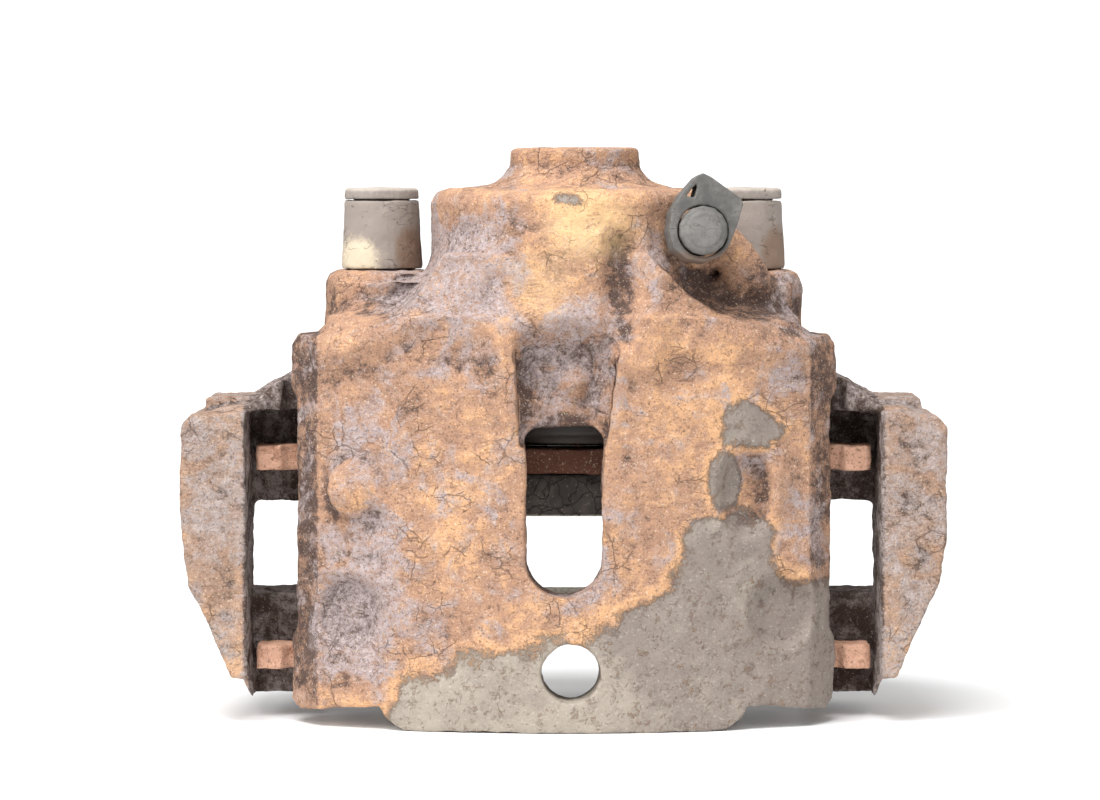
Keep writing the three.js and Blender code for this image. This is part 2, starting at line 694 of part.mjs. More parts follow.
// spring clip on the inner pad's back; its three legs grip the piston's cup
function makePadClip() {
  const low = INNER_PLATE_HIGH + CLEARANCE;
  const thickness = 0.9;
  const gripR = PISTON_R - PISTON_WALL - 2 * CLEARANCE;
  const hub = post(0, 0, 9, low, low + thickness);
  const leg = new THREE.Shape([
    [6, low],
    [gripR - 6, low],
    [gripR - 3, low + 4],
    [gripR, low + 14],
    [gripR - 2.4, low + 22],
    [gripR - 3.3, low + 21.6],
    [gripR - 1, low + 14],
    [gripR - 3.9, low + 4.6],
    [gripR - 6.4, low + thickness],
    [6, low + thickness],
  ].map(([x, z]) => new THREE.Vector2(x, z)));
  const strip = frontPrism(leg, -3.5, 3.5);
  const legs = [0, 120, 240].map((angle) => strip.rotate([0, 0, angle + 90]));
  return join([hub, ...legs]).translate([BORE_X, BORE_Y, 0]);
}

// ---- Guide pins, bushes and lids -----------------------------------------------------------------

function makeGuideBush(side) {
  const waist = LUG_HOLE_R - CLEARANCE;
  const seatZ = LUG_HIGH_Z + CLEARANCE;
  return turned([
    [PIN_BORE_R, BUSH_LOW_Z],
    [BUSH_BASE_R - 1, BUSH_LOW_Z],
    [BUSH_BASE_R, BUSH_LOW_Z + 1],
    [BUSH_BASE_R, LUG_LOW_Z - CLEARANCE],
    [waist, LUG_LOW_Z - CLEARANCE],
    [waist, seatZ],
    [BUSH_BASE_R, seatZ],
    [BUSH_TOP_R, LID_SEAM_Z],
    [BUSH_CAVITY_R, LID_SEAM_Z],
    [BUSH_CAVITY_R, BUSH_CAVITY_LOW_Z],
    [PIN_BORE_R, BUSH_CAVITY_LOW_Z],
    [PIN_BORE_R, BUSH_LOW_Z],
  ], side * PIN_HALF_SPACING, PIN_Y);
}

function makeBushCap(side) {
  const rim = LID_SEAM_Z + CLEARANCE;
  const plugR = BUSH_CAVITY_R - CLEARANCE;
  return turned([
    [0, LID_SEAM_Z - LID_PLUG_DEPTH],
    [plugR, LID_SEAM_Z - LID_PLUG_DEPTH],
    [plugR, rim],
    [BUSH_TOP_R, rim],
    [BUSH_TOP_R - 0.1, LID_TOP_Z - 0.9],
    [BUSH_TOP_R - 0.9, LID_TOP_Z - 0.3],
    [0, LID_TOP_Z],
  ], side * PIN_HALF_SPACING, PIN_Y);
}

function makeGuidePin(side) {
  const top = PIN_HEAD_LOW_Z + PIN_HEAD_HEIGHT;
  const pin = turned([
    [0, PIN_LOW_Z],
    [PIN_R - 1, PIN_LOW_Z],
    [PIN_R, PIN_LOW_Z + 1],
    [PIN_R, PIN_HEAD_LOW_Z],
    [PIN_HEAD_R, PIN_HEAD_LOW_Z],
    [PIN_HEAD_R, top - 0.6],
    [PIN_HEAD_R - 0.6, top],
    [0, top],
  ], side * PIN_HALF_SPACING, PIN_Y, SMALL_STEPS);
  return pin.subtract(post(side * PIN_HALF_SPACING, PIN_Y, PIN_HEX_R, top - PIN_HEX_DEPTH, top + PAST, 6));
}

// ---- Carrier -------------------------------------------------------------------------------------

function makeCarrierSide(side) {
  const arm = frontPrism(sided(side, [
    [ARM_INNER_X, ARM_LOW_Z],
    [90.5, ARM_LOW_Z + 0.5],
    [96, 26],
    [101.8, 38],
    [CARRIER_HALF_WIDTH, 52],
    [CARRIER_HALF_WIDTH, ARM_TOP_Z - 3],
    [CARRIER_HALF_WIDTH - 3, ARM_TOP_Z],
    [ARM_INNER_X + 1, ARM_TOP_Z + 1],
    [ARM_INNER_X, ARM_TOP_Z + 1],
  ]), ARM_FRONT_Y, ARM_BACK_Y);
  const outerLedge = frontPrism(sided(side, [
    [PAD_HALF_WIDTH + LEDGE_GAP, OUTER_LEDGE_LOW_Z],
    [ARM_INNER_X - 1, OUTER_LEDGE_LOW_Z],
    [ARM_INNER_X + 5, ARM_LOW_Z],
    [98, 30],
    [98, OUTER_LEDGE_HIGH_Z],
    [PAD_HALF_WIDTH + LEDGE_GAP, OUTER_LEDGE_HIGH_Z],
  ]), LEDGE_FRONT_Y, LEDGE_BACK_Y - 4);
  const outerCorner = frontPrism(sided(side, [
    [ARM_INNER_X - 1, OUTER_LEDGE_LOW_Z],
    [ARM_INNER_X, OUTER_LEDGE_LOW_Z + 1],
    [ARM_INNER_X + 4, ARM_LOW_Z + 2],
    [ARM_INNER_X, OUTER_LEDGE_HIGH_Z - 12],
  ]), ARM_FRONT_Y + 14, LEDGE_FRONT_Y + 2);
  const innerLedge = frontPrism(sided(side, [
    [PAD_HALF_WIDTH + LEDGE_GAP, INNER_LEDGE_LOW_Z],
    [99, INNER_LEDGE_LOW_Z],
    [99, FRAME_LOW_Z + 3],
    [PAD_HALF_WIDTH + LEDGE_GAP, FRAME_LOW_Z + 3],
  ]), LEDGE_FRONT_Y, LEDGE_BACK_Y);
  const frame = prism(sided(side, [
    [PIN_HALF_SPACING - 2, PIN_Y - PIN_BOSS_R + 2],
    [PIN_HALF_SPACING + 8, FRAME_FRONT_Y],
    [BRIDGE_HALF_WIDTH + 1.5, FRAME_FRONT_Y],
    [BRIDGE_HALF_WIDTH + 3, 27],
    [88, 24],
    [97, 24],
    [99, 70],
    [70, 84],
    [50, 76],
    [48, PIN_Y + PIN_BOSS_R - 2],
  ]), FRAME_LOW_Z, FRAME_HIGH_Z);
  const shoulderSlope = frontPrism(sided(side, [
    [30, FRAME_LOW_Z - PAST],
    [102, FRAME_LOW_Z - PAST],
    [94, ARM_TOP_Z + 1.5],
    [86, ARM_TOP_Z + 2.5],
    [76, FRAME_HIGH_Z - 1],
    [30, FRAME_HIGH_Z - 1],
  ]), 0, FAR);
  const boss = post(side * PIN_HALF_SPACING, PIN_Y, PIN_BOSS_R, FRAME_LOW_Z, FRAME_HIGH_Z);
  const mountLug = post(side * MOUNT_HALF_SPACING, MOUNT_Y, MOUNT_LUG_R, MOUNT_LOW_Z, MOUNT_HIGH_Z);
  const mountWeb = frontPrism(sided(side, [
    [52, FRAME_HIGH_Z - 1],
    [54, MOUNT_LOW_Z],
    [74, MOUNT_LOW_Z],
    [90, INNER_LEDGE_LOW_Z + 4],
    [92, FRAME_HIGH_Z - 10],
    [76, FRAME_HIGH_Z - 1],
  ]), 78.5, MOUNT_Y);
  const clearAbove = post(side * MOUNT_HALF_SPACING, MOUNT_Y, MOUNT_LUG_R + 1, MOUNT_HIGH_Z, FAR);
  const body = join([
    arm,
    outerLedge,
    outerCorner,
    innerLedge,
    frame.intersect(shoulderSlope),
    boss,
    mountWeb.subtract(clearAbove),
    mountLug,
  ]);
  return cut(body, [
    post(side * PIN_HALF_SPACING, PIN_Y, PIN_BORE_R, FRAME_LOW_Z - PAST, FAR, SMALL_STEPS),
    post(side * MOUNT_HALF_SPACING, MOUNT_Y, MOUNT_HOLE_R, -PAST, FAR, SMALL_STEPS),
  ]);
}

function makeCarrier() {
  const reach = MOUNT_HALF_SPACING - MOUNT_HOLE_R - 1;
  const lowCorner = [-reach, TIE_BAR_FRONT_Y, MOUNT_LOW_Z + 1];
  const tieBar = block(lowCorner, [reach, CARRIER_BACK_Y - 2, TIE_BAR_HIGH_Z]);
  return join([mirrored(makeCarrierSide), tieBar]);
}

// ---- Bleed screw, its cap and the cap's strap ------------------------------------------------------

function makeBleedScrew() {
  const hexLow = CLEARANCE;
  const hexHigh = hexLow + BLEED_HEX_HEIGHT;
  const tip = hexHigh + BLEED_NIPPLE_LENGTH - 5;
  const shank = turnedOnBleedAxis([
    [0, -BLEED_SCREW_DEPTH],
    [1.6, -BLEED_SCREW_DEPTH],
    [BLEED_THREAD_R, -BLEED_SCREW_DEPTH + 3],
    [BLEED_THREAD_R, hexLow + 1],
    [BLEED_NIPPLE_R - 0.8, hexHigh],
    [BLEED_NIPPLE_R - 0.8, tip - 2],
    [BLEED_NIPPLE_R, tip - 1.4],
    [BLEED_NIPPLE_R - 1, tip],
    [0, tip],
  ]);
  const hex = new THREE.CylinderGeometry(BLEED_HEX_R, BLEED_HEX_R, BLEED_HEX_HEIGHT, 6);
  hex.rotateX(Math.PI / 2).translate(0, 0, (hexLow + hexHigh) / 2);
  const drill = turnedOnBleedAxis([[0, -2], [1, -2], [1, tip + PAST], [0, tip + PAST]], 12);
  return shank.add(toSolid(placeOnBleedAxis(hex))).subtract(drill);
}

function makeBleedCap() {
  const hexHigh = CLEARANCE + BLEED_HEX_HEIGHT;
  const low = hexHigh + CLEARANCE;
  const inner = BLEED_NIPPLE_R + CLEARANCE;
  const top = low + CAP_LENGTH;
  return turnedOnBleedAxis([
    [inner, low],
    [CAP_SKIRT_R, low],
    [CAP_SKIRT_R - 0.9, low + 1.4],
    [CAP_SKIRT_R - 0.9, low + 6.4],
    [CAP_HEAD_R, low + 7.2],
    [CAP_HEAD_R, top - 1.2],
    [CAP_HEAD_R - 0.6, top - 0.5],
    [4.9, top - 0.4],
    [4.6, top],
    [0, top],
    [0, low + 6],
    [inner, low + 6],
    [inner, low],
  ]);
}

// a rubber band: a ring round the cap's neck that rises into an open loop with a sharp crest
function makeBleedCapStrap() {
  const low = CLEARANCE * 2 + BLEED_HEX_HEIGHT + 0.6;
  const outline = polygon([
    [9.4, 1.6],
    [11, 7],
    [10.6, 8.6],
    [2.4, STRAP_PEAK - 1],
    [0.3, STRAP_PEAK],
    [-1.4, STRAP_PEAK - 0.6],
    [-5.8, 9.8],
    [-8.4, 5.2],
    [-9.2, 0],
    [-8, -4.8],
    [-4.4, -7.6],
    [0.6, -8.2],
    [4.6, -6.8],
    [7.2, -3.6],
  ]);
  const slit = polygon([[-4.4, 9.2], [-0.9, STRAP_PEAK - 2.2], [-2.1, 8.8]]);
  const neckHole = new THREE.Path();
  neckHole.absarc(0, 0, CAP_HEAD_R + CLEARANCE, 0, 2 * Math.PI, true);
  outline.holes.push(neckHole, slit);
  const settings = { depth: STRAP_WIDTH, bevelEnabled: false, curveSegments: SMALL_STEPS };
  const geometry = new THREE.ExtrudeGeometry(outline, settings).translate(0, 0, low);
  return toSolid(placeOnBleedAxis(geometry));
}

// ---- Finishes and assembly -------------------------------------------------------------------------

function finish(color, roughness, metalness) {
  return new THREE.MeshStandardMaterial({ color, roughness, metalness });
}

const RUSTY_HOUSING = finish(0x9c6a48, 0.95, 0.1);
const RUSTY_CARRIER = finish(0x5d4438, 0.95, 0.1);
const PLATE_RUST = finish(0xa8663f, 0.9, 0.2);
const LINING = finish(0x4a4543, 0.9, 0);
const STEEL = finish(0x8f8b86, 0.45, 0.9);
const RUBBER = finish(0x8d8578, 0.8, 0);
const DARK_RUBBER = finish(0x4e4e50, 0.7, 0);
const LID_PLASTIC = finish(0x6b6258, 0.7, 0);

const bench = new THREE.Group();
bench.position.y = -CARRIER_BACK_Y / 2;

function addPiece(name, solid, material) {
  const mesh = new THREE.Mesh(toGeometry(solid), material);
  mesh.name = name;
  bench.add(mesh);
}

addPiece('housing', makeHousing(), RUSTY_HOUSING);
addPiece('carrier', makeCarrier(), RUSTY_CARRIER);
addPiece('piston', makePiston(), STEEL);
addPiece('piston_seal', makePistonSeal(), DARK_RUBBER);
addPiece('dust_boot', makeDustBoot(), DARK_RUBBER);
for (const [name, side] of [['left', -1], ['right', 1]]) {
  addPiece(`guide_bush_${name}`, makeGuideBush(side), RUBBER);
  addPiece(`bush_cap_${name}`, makeBushCap(side), LID_PLASTIC);
  addPiece(`guide_pin_${name}`, makeGuidePin(side), STEEL);
}
addPiece('inner_pad_plate', makePlate(INNER_PLATE_LOW, false), PLATE_RUST);
addPiece('inner_pad_lining', makeLining(DISC_SLOT_HIGH), LINING);
addPiece('inner_pad_shim', makeShim(INNER_SHIM_LOW), STEEL);
addPiece('inner_pad_clip', makePadClip(), STEEL);
const plateRelief = padRelief(OUTER_PLATE_LOW, OUTER_PLATE_HIGH - RELIEF_WEB);
addPiece('outer_pad_plate', makePlate(OUTER_PLATE_LOW, true).subtract(plateRelief), PLATE_RUST);
const liningRelief = padRelief(OUTER_LINING_LOW, OUTER_LINING_LOW + LINING_RELIEF);
addPiece('outer_pad_lining', makeLining(OUTER_LINING_LOW).subtract(liningRelief), LINING);
addPiece('bleed_screw', makeBleedScrew(), STEEL);
addPiece('bleed_cap', makeBleedCap(), DARK_RUBBER);
addPiece('bleed_cap_strap', makeBleedCapStrap(), DARK_RUBBER);

const caliper = new THREE.Group();
caliper.add(bench);
export default caliper;
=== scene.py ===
import math
import bpy
import numpy as np
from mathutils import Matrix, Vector, noise


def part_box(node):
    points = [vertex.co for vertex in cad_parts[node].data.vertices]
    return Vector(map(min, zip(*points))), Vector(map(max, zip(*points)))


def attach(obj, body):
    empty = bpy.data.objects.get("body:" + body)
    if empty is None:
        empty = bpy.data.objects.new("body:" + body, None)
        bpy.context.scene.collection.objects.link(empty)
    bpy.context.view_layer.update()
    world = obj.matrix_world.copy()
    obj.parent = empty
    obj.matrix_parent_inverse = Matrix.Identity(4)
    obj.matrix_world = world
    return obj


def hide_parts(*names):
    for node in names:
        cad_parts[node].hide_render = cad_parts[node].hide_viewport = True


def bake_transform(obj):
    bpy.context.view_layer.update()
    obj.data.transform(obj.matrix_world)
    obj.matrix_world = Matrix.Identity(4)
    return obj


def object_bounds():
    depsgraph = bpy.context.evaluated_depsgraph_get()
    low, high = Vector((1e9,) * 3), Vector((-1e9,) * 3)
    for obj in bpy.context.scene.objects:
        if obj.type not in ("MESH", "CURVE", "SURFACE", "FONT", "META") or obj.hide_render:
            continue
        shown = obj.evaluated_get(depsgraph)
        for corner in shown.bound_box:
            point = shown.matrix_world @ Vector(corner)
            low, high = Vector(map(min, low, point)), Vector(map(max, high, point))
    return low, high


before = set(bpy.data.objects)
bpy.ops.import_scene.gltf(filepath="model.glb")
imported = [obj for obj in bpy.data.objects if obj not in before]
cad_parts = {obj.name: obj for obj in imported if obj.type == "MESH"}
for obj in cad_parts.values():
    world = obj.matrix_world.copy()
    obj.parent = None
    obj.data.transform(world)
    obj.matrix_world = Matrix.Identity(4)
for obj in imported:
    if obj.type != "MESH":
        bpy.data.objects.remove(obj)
cad_low, cad_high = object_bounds()
scene = bpy.context.scene
MM = 0.001

# ---- Housing -----------------------------------------------------------------------------------
# One grey-iron casting: the bridge over the disc, two fingers at the bottom and the closed
# cylinder on top. It was sand cast, so every edge is round, and years of wet roads have covered
# it in thick flaking rust, all but a patch worn back to bare grey iron.


def points_of(piece):
    """A piece's vertex places as an array, one row each."""
    places = np.empty(len(piece.data.vertices) * 3)
    piece.data.vertices.foreach_get("co", places)
    return places.reshape(-1, 3)


def normals_of(piece):
    """A piece's vertex normals as an array, one row each."""
    normals = np.empty(len(piece.data.vertices) * 3, dtype=np.float32)
    piece.data.vertex_normals.foreach_get("vector", normals)
    return normals.reshape(-1, 3).astype(float)


def move_points(piece, places):
    """Puts the vertices at new places, never outside the CAD model's own box."""
    kept = np.clip(places, np.array(cad_low), np.array(cad_high))
    piece.data.vertices.foreach_set("co", kept.ravel())
    piece.data.update()


def settle(piece):
    """Applies a piece's modifiers to its mesh."""
    graph = bpy.context.evaluated_depsgraph_get()
    mesh = bpy.data.meshes.new_from_object(piece.evaluated_get(graph))
    piece.modifiers.clear()
    piece.data = mesh
    piece.data.shade_smooth()


def recast(name, node, voxel, rounds):
    """A finely meshed copy of a CAD solid, its edges softened as casting or moulding leaves them."""
    piece = bpy.data.objects.new(name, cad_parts[node].data.copy())
    scene.collection.objects.link(piece)
    piece.data.materials.clear()
    mesher = piece.modifiers.new("fine mesh", "REMESH")
    mesher.mode = "VOXEL"
    mesher.voxel_size = voxel
    softener = piece.modifiers.new("soft edges", "SMOOTH")
    softener.factor = 0.5
    softener.iterations = rounds
    settle(piece)
    # remeshing shrinks the piece a little, so it is stretched back to the solid's own box
    low, high = (np.array(corner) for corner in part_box(node))
    places = points_of(piece)
    found_low, found_high = places.min(axis=0), places.max(axis=0)
    move_points(piece, low + (places - found_low) * (high - low) / (found_high - found_low))
    return piece


def set_in_place(piece, node, body, material):
    """Gives a piece its finish and lets it stand in for a CAD node on its body."""
    piece.data.materials.append(material)
    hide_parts(node)
    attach(piece, body)
    return piece


def lumps(places, size, octaves=4, seed=0.0):
    """Fractal noise at each place, about -1 to 1, with lumps of the given size."""
    shifted = places / size + seed
    return np.array([noise.fractal(point, 0.9, 2.1, octaves) for point in shifted])


def smooth_step(low, high, value):
    """0 below low, 1 above high, and smooth between."""
    part = np.clip((value - low) / (high - low), 0.0, 1.0)
    return part * part * (3.0 - 2.0 * part)


def softened(piece, rounds):
    """Vertex places after each has moved to the middle of its neighbours, several times over."""
    places = points_of(piece)
    ends = np.empty(len(piece.data.edges) * 2, dtype=np.int32)
    piece.data.edges.foreach_get("vertices", ends)
    first, second = ends.reshape(-1, 2).T
    count = len(places)
    neighbours = np.bincount(ends, minlength=count)
    for _ in range(rounds):
        totals = [
            np.bincount(first, places[second, axis], count) + np.bincount(second, places[first, axis], count)
            for axis in range(3)
        ]
        places = np.stack(totals, axis=1) / neighbours[:, None]
    return places


def hollowness(piece, rounds):
    """How far each vertex lies below its surroundings, in millimetres."""
    return ((softened(piece, rounds) - points_of(piece)) * normals_of(piece)).sum(axis=1) / MM


def spot(x, z, middle, reach, firmness=0.0):
    """1 at the middle of a round or oval mark, 0 past its reach; a firm one has a flat middle."""
    distance = np.hypot((x - middle[0]) / reach[0], (z - middle[1]) / reach[1])
    return smooth_step(1.0, firmness, distance)


def ridge(x, z, start, end, width):
    """1 along the line from start to end, 0 a width away from it."""
    run_x, run_z = end[0] - start[0], end[1] - start[1]
    along = ((x - start[0]) * run_x + (z - start[1]) * run_z) / (run_x**2 + run_z**2)
    along = np.clip(along, 0.0, 1.0)
    distance = np.hypot(x - start[0] - along * run_x, z - start[1] - along * run_z)
    return smooth_step(1.0, 0.0, distance / width)


def keep_mask(piece, name, values):
    """Stores one number for each vertex, which the material reads by name."""
    layer = piece.data.attributes.new(name, "FLOAT", "POINT")
    layer.data.foreach_set("value", np.asarray(values, dtype=np.float32))


def new_group(name, inputs, outputs):
    """An empty shader node group with named sockets."""
    group = bpy.data.node_groups.new(name, "ShaderNodeTree")
    for label, kind, default in inputs:
        socket = group.interface.new_socket(label, in_out="INPUT", socket_type="NodeSocket" + kind)
        socket.default_value = default
    for label, kind in outputs:
        group.interface.new_socket(label, in_out="OUTPUT", socket_type="NodeSocket" + kind)
    return group, group.nodes.new("NodeGroupInput").outputs, group.nodes.new("NodeGroupOutput").inputs


def feed(tree, socket, value):
    """Links a socket to another's output, or sets it to a plain value."""
    if isinstance(value, bpy.types.NodeSocket):
        tree.links.new(value, socket)
    else:
        socket.default_value = value


def maths(tree, operation, first, second):
    """The output of a Math node on two values."""
    node = tree.nodes.new("ShaderNodeMath")
    node.operation = operation
    feed(tree, node.inputs[0], first)
    feed(tree, node.inputs[1], second)
    return node.outputs[0]


def blend_colours(tree, amount, first, second):
    """The output of a Mix node on two colours."""
    node = tree.nodes.new("ShaderNodeMix")
    node.data_type = "RGBA"
    feed(tree, node.inputs["Factor"], amount)
    feed(tree, node.inputs["A"], first)
    feed(tree, node.inputs["B"], second)
    return node.outputs["Result"]


def ease(tree, value, low, high, start=0.0, end=1.0):
    """A smooth Map Range of a value from low..high to start..end."""
    node = tree.nodes.new("ShaderNodeMapRange")
    node.interpolation_type = "SMOOTHSTEP"
    for socket, number in zip(node.inputs[:5], (value, low, high, start, end)):
        feed(tree, socket, number)
    return node.outputs[0]


def surface_place(tree, stretch=(1.0, 1.0, 1.0)):
    """Where the surface is on its own piece, in millimetres, stretched along each axis."""
    place = tree.nodes.new("ShaderNodeTexCoord")
    scale = tree.nodes.new("ShaderNodeMapping")
    scale.inputs["Scale"].default_value = [1000.0 * part for part in stretch]
    tree.links.new(place.outputs["Object"], scale.inputs["Vector"])
    return scale.outputs[0]


def grain(tree, place, size, detail=4.0, rough=0.6, warp=0.0):
    """Noise with lumps of the given size in millimetres, 0 to 1."""
    node = tree.nodes.new("ShaderNodeTexNoise")
    tree.links.new(place, node.inputs["Vector"])
    feed(tree, node.inputs["Scale"], 1.0 / size)
    feed(tree, node.inputs["Detail"], detail)
    feed(tree, node.inputs["Roughness"], rough)
    feed(tree, node.inputs["Distortion"], warp)
    return node.outputs["Fac"]


def cracks(tree, place, size, wander):
    """Distance from the nearest crack between irregular plates of the given size, in plates."""
    bend = tree.nodes.new("ShaderNodeTexNoise")
    tree.links.new(place, bend.inputs["Vector"])
    bend.inputs["Scale"].default_value = 1.6 / size
    bend.inputs["Detail"].default_value = 5.0
    shift = tree.nodes.new("ShaderNodeVectorMath")
    shift.operation = "MULTIPLY_ADD"
    tree.links.new(bend.outputs["Color"], shift.inputs[0])
    shift.inputs[1].default_value = (wander * size,) * 3
    tree.links.new(place, shift.inputs[2])
    cells = tree.nodes.new("ShaderNodeTexVoronoi")
    cells.feature = "DISTANCE_TO_EDGE"
    cells.inputs["Scale"].default_value = 1.0 / size
    tree.links.new(shift.outputs[0], cells.inputs["Vector"])
    return cells.outputs["Distance"]


def pits(tree, place, size, reach):
    """1 in small round pits of the given spacing in millimetres, 0 between them."""
    cells = tree.nodes.new("ShaderNodeTexVoronoi")
    cells.feature = "F1"
    cells.inputs["Scale"].default_value = 1.0 / size
    tree.links.new(place, cells.inputs["Vector"])
    return ease(tree, cells.outputs["Distance"], reach, reach * 0.45)


def weigh(tree, *pairs):
    """The sum of values, each times its weight."""
    total = 0.0
    for value, weight in pairs:
        node = tree.nodes.new("ShaderNodeMath")
        node.operation = "MULTIPLY_ADD"
        for socket, part in zip(node.inputs, (value, weight, total)):
            feed(tree, socket, part)
        total = node.outputs[0]
    return total


def sum_of_spots(x, z, spots):
    """Adds up named spots, each with its strength, middle, reach and firmness."""
    return sum(strength * spot(x, z, *shape) for strength, *shape in spots.values())


def make_flaky_rust():
    """Thick rust from deep brown to orange, pitted and cracked, with grey scale lying on it."""
    group, given, result = new_group(
        "flaky_rust",
        [
            ("Bright", "Color", (0.60, 0.345, 0.185, 1)),
            ("Middle", "Color", (0.37, 0.215, 0.14, 1)),
            ("Deep", "Color", (0.085, 0.052, 0.042, 1)),
            ("Scale", "Color", (0.40, 0.33, 0.325, 1)),
            ("Scale Cover", "Float", 0.35),
            ("Depth", "Float", 0.0),
            ("Glow", "Float", 0.0),
        ],
        [("Color", "Color"), ("Roughness", "Float"), ("Height", "Float")],
    )
    place = surface_place(group)
    # flakes lie flat, so the layers are drawn out sideways
    layered = surface_place(group, (0.6, 0.9, 1.5))
    broad = grain(group, place, 21.0, 5.0, 0.62, 0.6)
    lumpy = grain(group, place, 4.5, 8.0, 0.7, 0.3)
    layers = grain(group, layered, 2.6, 7.0, 0.72, 0.5)
    specks = grain(group, place, 1.9, 5.0, 0.8, 0.4)
    grit = grain(group, place, 1.0, 4.0, 0.8)
    dust = grain(group, place, 0.55, 2.0, 0.7)
    # the Darkening input pulls the rust towards its Deep colour, as painted shade with some soot
    level = weigh(
        group,
        (lumpy, 0.40), (broad, 0.30), (layers, 0.28), (specks, 0.36), (grit, 0.30),
        (given["Glow"], 0.16), (given["Depth"], -1.0),
    )
    base = blend_colours(group, ease(group, level, 0.66, 0.81), given["Deep"], given["Middle"])
    base = blend_colours(group, ease(group, level, 0.82, 0.99), base, given["Bright"])
    drift = grain(group, place, 13.0, 7.0, 0.62, 1.1)
    scaly = ease(group, weigh(group, (drift, 1.0), (lumpy, 0.5), (given["Scale Cover"], 1.0)), 0.98, 1.16)
    broken = ease(group, weigh(group, (specks, 0.6), (grit, 0.4)), 0.38, 0.56)
    scaly = maths(group, "MULTIPLY", scaly, broken)
    base = blend_colours(group, scaly, base, given["Scale"])
    dark_grit = ease(group, weigh(group, (grit, 0.55), (dust, 0.45)), 0.53, 0.62, 0.0, 0.7)
    base = blend_colours(group, dark_grit, base, given["Deep"])
    pale_grit = ease(group, weigh(group, (grit, -0.5), (dust, -0.5), (1.0, 1.0)), 0.55, 0.63, 0.0, 0.42)
    pale_dust = (0.86, 0.70, 0.56, 1)
    base = blend_colours(group, pale_grit, base, pale_dust)
    hollows = maths(group, "MULTIPLY", pits(group, place, 2.0, 0.28), ease(group, specks, 0.42, 0.6))
    base = blend_colours(group, maths(group, "MULTIPLY", hollows, 0.3), base, given["Deep"])
    plates = cracks(group, place, 7.5, 0.55)
    splits = cracks(group, layered, 3.6, 0.8)
    cracked = ease(group, grain(group, place, 15.0, 4.0, 0.6), 0.50, 0.60)
    wide = ease(group, plates, 0.028, 0.0)
    fine = ease(group, splits, 0.03, 0.0, 0.0, 0.6)
    gap = maths(group, "MULTIPLY", maths(group, "MAXIMUM", wide, fine), cracked)
    base = blend_colours(group, maths(group, "MULTIPLY", gap, 0.6), base, given["Deep"])
    feed(group, result["Color"], base)
    feed(group, result["Roughness"], ease(group, specks, 0.3, 0.7, 0.78, 0.98))
    height = weigh(
        group,
        (lumpy, 1.0), (layers, 0.65), (specks, 0.65), (grit, 0.45), (dust, 0.15),
        (scaly, 0.18), (gap, -0.55), (hollows, -0.35),
    )
    feed(group, result["Height"], height)
    return group


def make_worn_iron():
    """Bare cast iron, sandy and clouded, paler where dust has dried on it."""
    group, given, result = new_group(
        "worn_iron",
        [
            ("Iron", "Color", (0.205, 0.170, 0.148, 1)),
            ("Dust", "Color", (0.305, 0.265, 0.22, 1)),
            ("Pale", "Float", 0.0),
        ],
        [("Color", "Color"), ("Roughness", "Float"), ("Height", "Float")],
    )
    place = surface_place(group)
    cloud = grain(group, place, 14.0, 7.0, 0.65, 0.4)
    mottle = grain(group, place, 3.2, 6.0, 0.7)
    sand = grain(group, surface_place(group, (0.6, 1.0, 1.4)), 0.8, 4.0, 0.8)
    fine = grain(group, place, 0.5, 2.0, 0.7)
    pale = weigh(group, (cloud, 0.9), (mottle, 0.45), (given["Pale"], 0.4))
    colour = blend_colours(group, ease(group, pale, 0.58, 0.98), given["Iron"], given["Dust"])
    light = ease(group, weigh(group, (sand, 0.5), (fine, 0.5)), 0.54, 0.66, 0.0, 0.42)
    bright_grains = (0.60, 0.56, 0.49, 1)
    colour = blend_colours(group, light, colour, bright_grains)
    dark = ease(group, weigh(group, (sand, -0.6), (fine, -0.4), (1.0, 1.0)), 0.54, 0.66, 0.0, 0.38)
    pores = (0.12, 0.10, 0.085, 1)
    colour = blend_colours(group, dark, colour, pores)
    feed(group, result["Color"], colour)
    feed(group, result["Roughness"], ease(group, mottle, 0.3, 0.7, 0.6, 0.85))
    feed(group, result["Height"], weigh(group, (sand, 0.20), (fine, 0.10), (mottle, 0.12)))
    return group


FLAKY_RUST = make_flaky_rust()
WORN_IRON = make_worn_iron()


def new_material(name):
    """A material with an empty tree but for its Principled shader and output."""
    material = bpy.data.materials.new(name)
    material.use_nodes = True
    return material, material.node_tree, material.node_tree.nodes["Principled BSDF"].inputs


def place_group(tree, group, **settings):
    """One copy of a node group in a material, with its own values."""
    node = tree.nodes.new("ShaderNodeGroup")
    node.node_tree = group
    for label, value in settings.items():
        feed(tree, node.inputs[label.replace("_", " ")], value)
    return node.outputs


def mask(tree, name):
    """The number stored for each vertex under this name."""
    node = tree.nodes.new("ShaderNodeAttribute")
    node.attribute_name = name
    return node.outputs["Fac"]


def raise_surface(tree, shader, height, depth):
    """Bump from a height, of the given depth in metres."""
    bump = tree.nodes.new("ShaderNodeBump")
    bump.inputs["Strength"].default_value = 1.0
    bump.inputs["Distance"].default_value = depth
    feed(tree, bump.inputs["Height"], height)
    tree.links.new(bump.outputs[0], shader["Normal"])


def mix_values(tree, amount, first, second):
    """The output of a Mix node on two numbers."""
    node = tree.nodes.new("ShaderNodeMix")
    for socket, value in zip((node.inputs[0], node.inputs[2], node.inputs[3]), (amount, first, second)):
        feed(tree, socket, value)
    return node.outputs[0]


STRAW_STAIN = (0.86, 0.60, 0.30, 1)
MATT_IRON = 0.25
HOUSING_BUMP = 0.6 * MM


